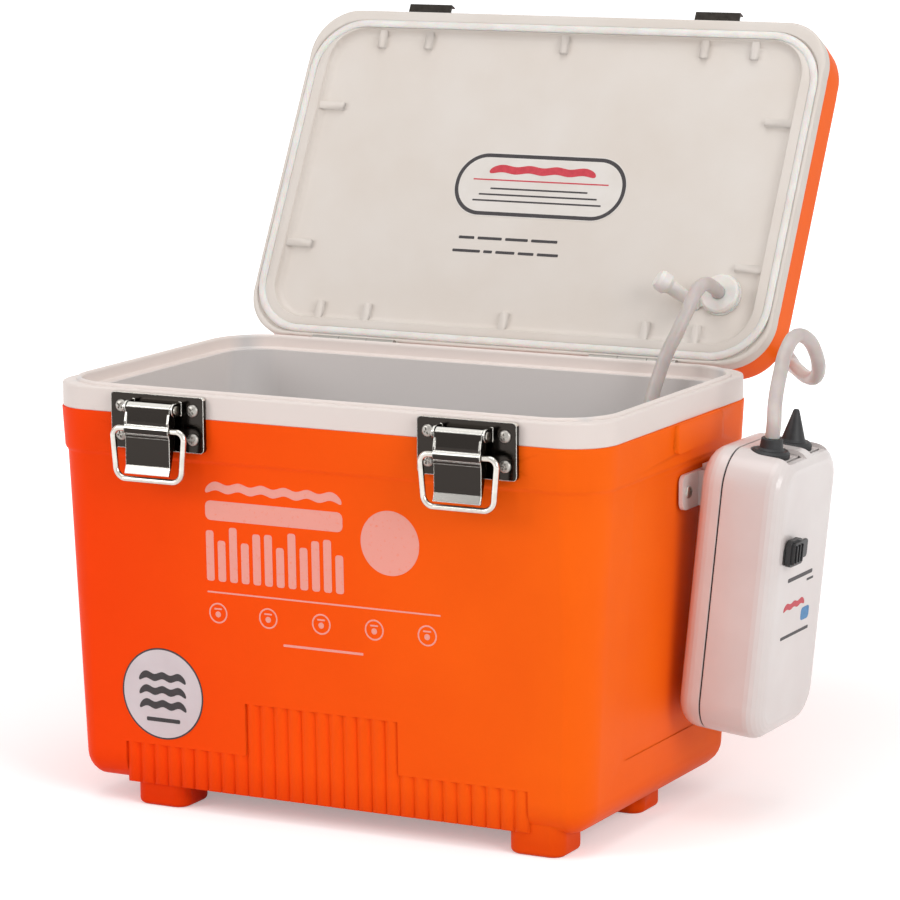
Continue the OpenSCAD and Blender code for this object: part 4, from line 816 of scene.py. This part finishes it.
level = Matrix.Identity(4)
reshape("tub_shell", "drawn_in_shell", orange, draws_in(0), "tub", level)
reshape("tub_foam", "drawn_in_foam", foam, draws_in(FOAM_KEEPS), "tub", level)
reshape("lid_shell", "lid_crown", orange, lid_rule)
reshape("lid_liner", "lid_inner_panel", white_pp, lid_rule)
for side in ("left", "right"):
    reshape("keeper_" + side, "low_keeper_" + side, keeper_steel, keeper_rule)
print("parting line at", PARTING_Z, "mm")

# %% [markdown]
# ## Prints on the front
# The front carries pale screen prints and a round sticker. They are kept generic here: a wave, a solid
# bar and a row of upright strokes, a rule with five ringed dots under it, a blank disc, and a sticker
# with three dark waves. Each is a very thin piece, and one matrix lays it on the sloping wall.

# %% Inks and vinyl
pale_ink, tree, shader, place = surface("pale_screen_ink", "#F2A596", 0.55, Specular_IOR_Level=0.2)
wear = add(tree, "TexNoise", {"Vector": place, "Scale": 1000 / 1.6, "Detail": 4})
gap = add(tree, "MapRange", {"Value": wear.outputs["Fac"], "From Min": 0.6, "From Max": 0.75,
                             "To Max": 0.5})
two_tone(tree, shader, gap.outputs[0], "#F2A294", "#F77A52")
grain(tree, place, shader, 0.9, 0.03)

dark_ink = skin("dark_screen_ink", "#2C2629", 0.45, ("#272224", "#332D30"), 2, 0.8, 0.01)
red_ink = skin("red_screen_ink", "#C4313F", 0.45, ("#BC2B3A", "#CB3946"), 2, 0.8, 0.01)
blue_ink = skin("blue_screen_ink", "#3C7FB4", 0.45, ("#3778AC", "#4487BC"), 2, 0.8, 0.01)
vinyl = skin("printed_vinyl", "#D6CBCE", 0.4, ("#D3C8CB", "#D9CFD2"), 14, 6, 0.02, Specular_IOR_Level=0.3)
label_film = skin("white_label_film", "#DDD6D0", 0.4, ("#DAD3CC", "#E0DAD5"), 14, 6, 0.02,
                  Specular_IOR_Level=0.3)
print(pale_ink.name, dark_ink.name, red_ink.name, blue_ink.name, vinyl.name, label_film.name)


# %% Laying a print on the front wall
PRINT_GAP, PRINT_T, FILM_T = 0.02, 0.1, 0.14
ON_STICKER_T, ON_LABEL_T = 0.24, 0.22


def on_front(x, z):
    """Matrix that lays a flat piece on the front wall, with its Z out of the wall."""
    y = front_wall_y(z) - PRINT_GAP
    return Matrix.Translation(metres((x, y, z))) @ Matrix.Rotation(math.radians(90 + DRAFT), 4, "X")


def disc(place_at, radius, thick=PRINT_T, vertices=96):
    """A thin round plate."""
    bpy.ops.mesh.primitive_cylinder_add(
        vertices=vertices, radius=radius * MM, depth=thick * MM, location=(0, 0, thick / 2 * MM))
    piece = bpy.context.object
    bpy.ops.object.transform_apply()
    piece.matrix_world = place_at
    return piece


def bar(place_at, width, height, thick=PRINT_T):
    """A thin straight bar with rounded ends."""
    bpy.ops.mesh.primitive_plane_add(size=1)
    piece = bpy.context.object
    piece.scale = (width * MM, height * MM, 1)
    bpy.ops.object.transform_apply()
    bpy.ops.object.mode_set(mode="EDIT")
    bpy.ops.mesh.select_all(action="SELECT")
    bpy.ops.mesh.bevel(offset=min(width, height) * 0.3 * MM, segments=3, affect="VERTICES")
    bpy.ops.mesh.extrude_region_move(TRANSFORM_OT_translate={"value": (0, 0, thick * MM)})
    bpy.ops.object.mode_set(mode="OBJECT")
    piece.matrix_world = place_at
    return piece


def ring(place_at, radius, line):
    """A thin round line, from a torus that is pressed flat."""
    bpy.ops.mesh.primitive_torus_add(
        major_segments=48, minor_segments=6, major_radius=radius * MM, minor_radius=line / 2 * MM)
    piece = bpy.context.object
    piece.matrix_world = place_at @ Matrix.Diagonal((1, 1, 0.3, 1))
    return piece


def print_on(pieces, name, material, body="tub"):
    """Joins pieces to one print, with its normals, its finish, its place and the body it rides on."""
    active(pieces[0])
    for piece in pieces:
        piece.select_set(True)
    bpy.ops.object.transform_apply(location=True, rotation=True, scale=True)
    if len(pieces) > 1:
        bpy.ops.object.join()
    piece = bpy.context.object
    bpy.ops.object.mode_set(mode="EDIT")
    bpy.ops.mesh.select_all(action="SELECT")
    bpy.ops.mesh.normals_make_consistent(inside=False)
    bpy.ops.object.mode_set(mode="OBJECT")
    settle(piece, name, material)
    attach(piece, body)
    return piece


print("front wall at the sticker", round(front_wall_y(58), 2), "mm")

# %% [markdown]
# A wave starts as a strip of a few columns. Every other column is moved up, and Subdivision Surface
# rounds the zigzag to a smooth wave with soft ends, which is then extruded to a print's thickness.


# %% A wavy band
def wave(place_at, width, band, humps, rise, thick=PRINT_T):
    """A thin wavy band, centred on its place."""
    bpy.ops.mesh.primitive_grid_add(x_subdivisions=2 * humps, y_subdivisions=1, size=1)
    piece = bpy.context.object
    piece.scale = (width * MM, band * MM, 1)
    bpy.ops.object.transform_apply()
    columns = sorted({round(v.co.x, 6) for v in piece.data.vertices})
    bpy.ops.object.mode_set(mode="EDIT")
    bpy.ops.mesh.select_mode(type="VERT")
    bpy.ops.mesh.select_all(action="DESELECT")
    bpy.ops.object.mode_set(mode="OBJECT")
    for v in piece.data.vertices:
        v.select = columns.index(round(v.co.x, 6)) % 2 == 1
    bpy.ops.object.mode_set(mode="EDIT")
    bpy.ops.transform.translate(value=(0, rise * MM, 0))
    bpy.ops.object.mode_set(mode="OBJECT")
    soften = piece.modifiers.new("soften", "SUBSURF")
    soften.levels = soften.render_levels = 3
    bpy.ops.object.modifier_apply(modifier=soften.name)
    bpy.ops.object.mode_set(mode="EDIT")
    bpy.ops.mesh.select_all(action="SELECT")
    bpy.ops.mesh.extrude_region_move(TRANSFORM_OT_translate={"value": (0, 0, thick * MM)})
    bpy.ops.object.mode_set(mode="OBJECT")
    piece.matrix_world = place_at @ Matrix.Translation((0, -rise / 2 * MM, 0))
    return piece


print("a wave of 2 humps has 5 columns")

# %% Wave, bar and strokes
BLOCK_X, BLOCK_W = -23.2, 75.4
print_on([wave(on_front(BLOCK_X, 163.6), BLOCK_W, 4.2, 6, 4.4)], "print_wave", pale_ink)
print_on([bar(on_front(BLOCK_X, 152.2), BLOCK_W, 9.6)], "print_bar", pale_ink)
STROKES, STROKE_W, STROKE_H = 12, 4.3, 27
stroke_pitch = (BLOCK_W - STROKE_W) / (STROKES - 1)
strokes = []
for n in range(STROKES):
    tall = STROKE_H * (0.62 + 0.38 * abs(math.sin(1.9 * n + 0.9)))
    x = BLOCK_X - BLOCK_W / 2 + STROKE_W / 2 + n * stroke_pitch
    strokes.append(bar(on_front(x, 117.5 + tall / 2), STROKE_W, tall))
print_on(strokes, "print_strokes", pale_ink)
print("wave, bar and", len(strokes), "strokes")

# %% Disc, rules and rings
print_on([disc(on_front(39.7, 144.4), 15.6)], "print_disc", pale_ink)
print_on([bar(on_front(2.6, 112), 126.8, 0.8)], "print_rule", pale_ink)
print_on([bar(on_front(2.5, 89.3), 43.6, 1.2)], "print_short_rule", pale_ink)
for n, x in enumerate((-55.2, -27.4, 1.7, 30.4, 58.7)):
    here = on_front(x, 101.7)
    dot = disc(here @ Matrix.Translation((0, -0.6 * MM, 0)), 1.5, vertices=24)
    print_on([ring(here, 4.7, 0.8), dot, bar(here @ Matrix.Translation((0, 2.1 * MM, 0)), 4.2, 0.8)],
             f"print_ring_{n + 1}", pale_ink)
print("disc, two rules and five rings")

# %% [markdown]
# The sticker is a vinyl disc with a dark printed rim. The top of the disc is inset, and the faces
# outside the inset take the dark ink, so that the rim is part of the same piece.

# %% Round sticker
STICKER_X, STICKER_Z, STICKER_R = -88, 58.1, 22.9
sticker = disc(on_front(STICKER_X, STICKER_Z), STICKER_R, FILM_T, vertices=128)
active(sticker)
bpy.ops.object.mode_set(mode="EDIT")
pick_faces(sticker, lambda centre, normal: normal.z > 0.9)
bpy.ops.mesh.inset(thickness=0.8 * MM)
bpy.ops.object.mode_set(mode="OBJECT")
print_on([sticker], "round_sticker", vinyl)
sticker.data.materials.append(dark_ink)
sticker_middle = metres((STICKER_X, front_wall_y(STICKER_Z), STICKER_Z))
for face in sticker.data.polygons:
    spread = max((sticker.data.vertices[v].co - sticker_middle).length for v in face.vertices)
    face.material_index = 1 if spread > (STICKER_R - 0.4) * MM else 0
crests = [wave(on_front(STICKER_X, STICKER_Z + up), 27, 3.6, 3, 4, ON_STICKER_T)
          for up in (8.5, 1.5, -5.5)]
print_on(crests, "sticker_waves", dark_ink)
print_on([bar(on_front(STICKER_X, STICKER_Z - 13.2), 19, 2, ON_STICKER_T)], "sticker_rule", dark_ink)
print("sticker of", len(sticker.data.polygons), "faces")

# %% [markdown]
# ## Label inside the lid
# A long oval label with a dark outline sits on the lid's inner panel. It starts as a plane whose corners
# are rounded by a vertex bevel until the ends are half circles. Then it is inset for the outline, and
# the lid's own turn carries it to where the open lid holds it. A red wave and grey rules stand in for
# its print, and two rows of fine dashes lie under it.

# %% Oval label
LABEL_W, LABEL_H, LABEL_ROUND = 99, 35.5, 17.4
LABEL_X = 3
OUTLINE_FROM, OUTLINE_TO = 0.4, 2.5
bpy.ops.mesh.primitive_plane_add(size=1)
label = bpy.context.object
label.scale = (LABEL_W * MM, LABEL_H * MM, 1)
bpy.ops.object.transform_apply()
bpy.ops.object.mode_set(mode="EDIT")
bpy.ops.mesh.select_all(action="SELECT")
bpy.ops.mesh.bevel(offset=LABEL_ROUND * MM, segments=18, affect="VERTICES")
bpy.ops.mesh.inset(thickness=0.5 * MM)
bpy.ops.mesh.inset(thickness=2.1 * MM)
bpy.ops.mesh.select_all(action="SELECT")
bpy.ops.mesh.extrude_region_move(TRANSFORM_OT_translate={"value": (0, 0, FILM_T * MM)})
bpy.ops.object.mode_set(mode="OBJECT")
label_middle = metres((LABEL_X, 0, PANEL_Z - PRINT_GAP))
on_panel = lid_turn @ Matrix.Translation(label_middle) @ Matrix.Rotation(math.pi, 4, "X")
label.matrix_world = on_panel
print_on([label], "lid_label", label_film, body="lid")
label.data.materials.append(dark_ink)


def near_edge(point):
    """Distance of a point of the label from its outline, in metres."""
    p = to_closed @ point - label_middle
    x = max(abs(p.x) - (LABEL_W - LABEL_H) / 2 * MM, 0)
    return LABEL_H / 2 * MM - math.hypot(x, p.y)


for face in label.data.polygons:
    depths = [near_edge(label.data.vertices[v].co) for v in face.vertices]
    outlined = OUTLINE_FROM * MM < sum(depths) / len(depths) < OUTLINE_TO * MM
    face.material_index = 1 if outlined and len(depths) == 4 else 0
print("label of", len(label.data.polygons), "faces")


# %% Marks on the label and under it
def on_label(x, y):
    """A place on the lid's inner panel, from the label's middle, with Y up the open lid."""
    return on_panel @ Matrix.Translation(metres((x, y, 0)))


print_on([wave(on_label(0, 8.6), 62, 4.2, 4, 3, ON_LABEL_T)], "label_wave", red_ink, body="lid")
print_on([bar(on_label(0, 2.6), 78, 0.7, ON_LABEL_T)], "label_line", red_ink, body="lid")
lines = [bar(on_label(0, -2.2 - 3.4 * n), wide, 0.9, ON_LABEL_T)
         for n, wide in enumerate((56, 68, 74))]
print_on(lines, "label_lines", dark_ink, body="lid")
dashes = []
for y, start, words in ((-30, -40, (9, 14, 13, 15)), (-37.4, -42, (16, 5, 11, 9, 12))):
    x = start
    for word in words:
        dashes.append(bar(on_label(x + word / 2, y), word, 1.5))
        x += word + 2
print_on(dashes, "panel_dashes", dark_ink, body="lid")
print(len(dashes), "dashes")

# %% [markdown]
# ## Marks on the pump
# A few small marks are screened on the pump's broad face under the switch: dark rules, a red wave and a
# blue block, on a plain case.


# %% Pump marks
def on_pump(y, z):
    """A place on the pump's broad face, with X along the tub's depth and Y up."""
    out = PUMP_SIZE.z / 2 - PRINT_GAP
    upright = Matrix(((0, 0, 1, out * MM), (1, 0, 0, y * MM), (0, 1, 0, z * MM), (0, 0, 0, 1)))
    return pump_turn @ upright


print_on([bar(on_pump(-1, 9), 30, 2), bar(on_pump(12, 5.4), 8, 1.2)], "pump_rules", dark_ink, body="tub")
print_on([wave(on_pump(-5, -4.5), 26, 3, 3, 2.6)], "pump_wave", red_ink, body="tub")
print_on([bar(on_pump(10, -11.5), 10, 6.5)], "pump_block", blue_ink, body="tub")
print_on([bar(on_pump(-1, -19.5), 34, 1.6)], "pump_low_rule", dark_ink, body="tub")
print("five marks on the pump")

# %% [markdown]
# ## Grip of the switch
# The knob has three low ridges that a thumb pushes against. Each ridge is a bar with bevelled edges, and
# they ride with the knob.

# %% Ridges on the knob
SWITCH_PLATE_T, KNOB_H, RIDGE_RISE = 1.2, 4.2, 0.3
KNOB_Y, KNOB_Z = -19.5, 24.5
ridges = []
for step in (-3.4, 0, 3.4):
    bpy.ops.mesh.primitive_cube_add(size=1)
    ridge = bpy.context.object
    ridge.scale = (0.9 * MM, 1.1 * MM, 8.6 * MM)
    bpy.ops.object.transform_apply()
    soften = ridge.modifiers.new("soften", "BEVEL")
    soften.width, soften.segments = 0.3 * MM, 3
    bpy.ops.object.modifier_apply(modifier=soften.name)
    ridge.matrix_world = pump_turn @ Matrix.Translation(
        metres((PUMP_SIZE.z / 2 + SWITCH_PLATE_T + KNOB_H + RIDGE_RISE, KNOB_Y + step, KNOB_Z)))
    ridges.append(ridge)
grip = settle(join(ridges), "switch_ridges", black_acetal)
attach(grip, "pump_switch")
print("three ridges")
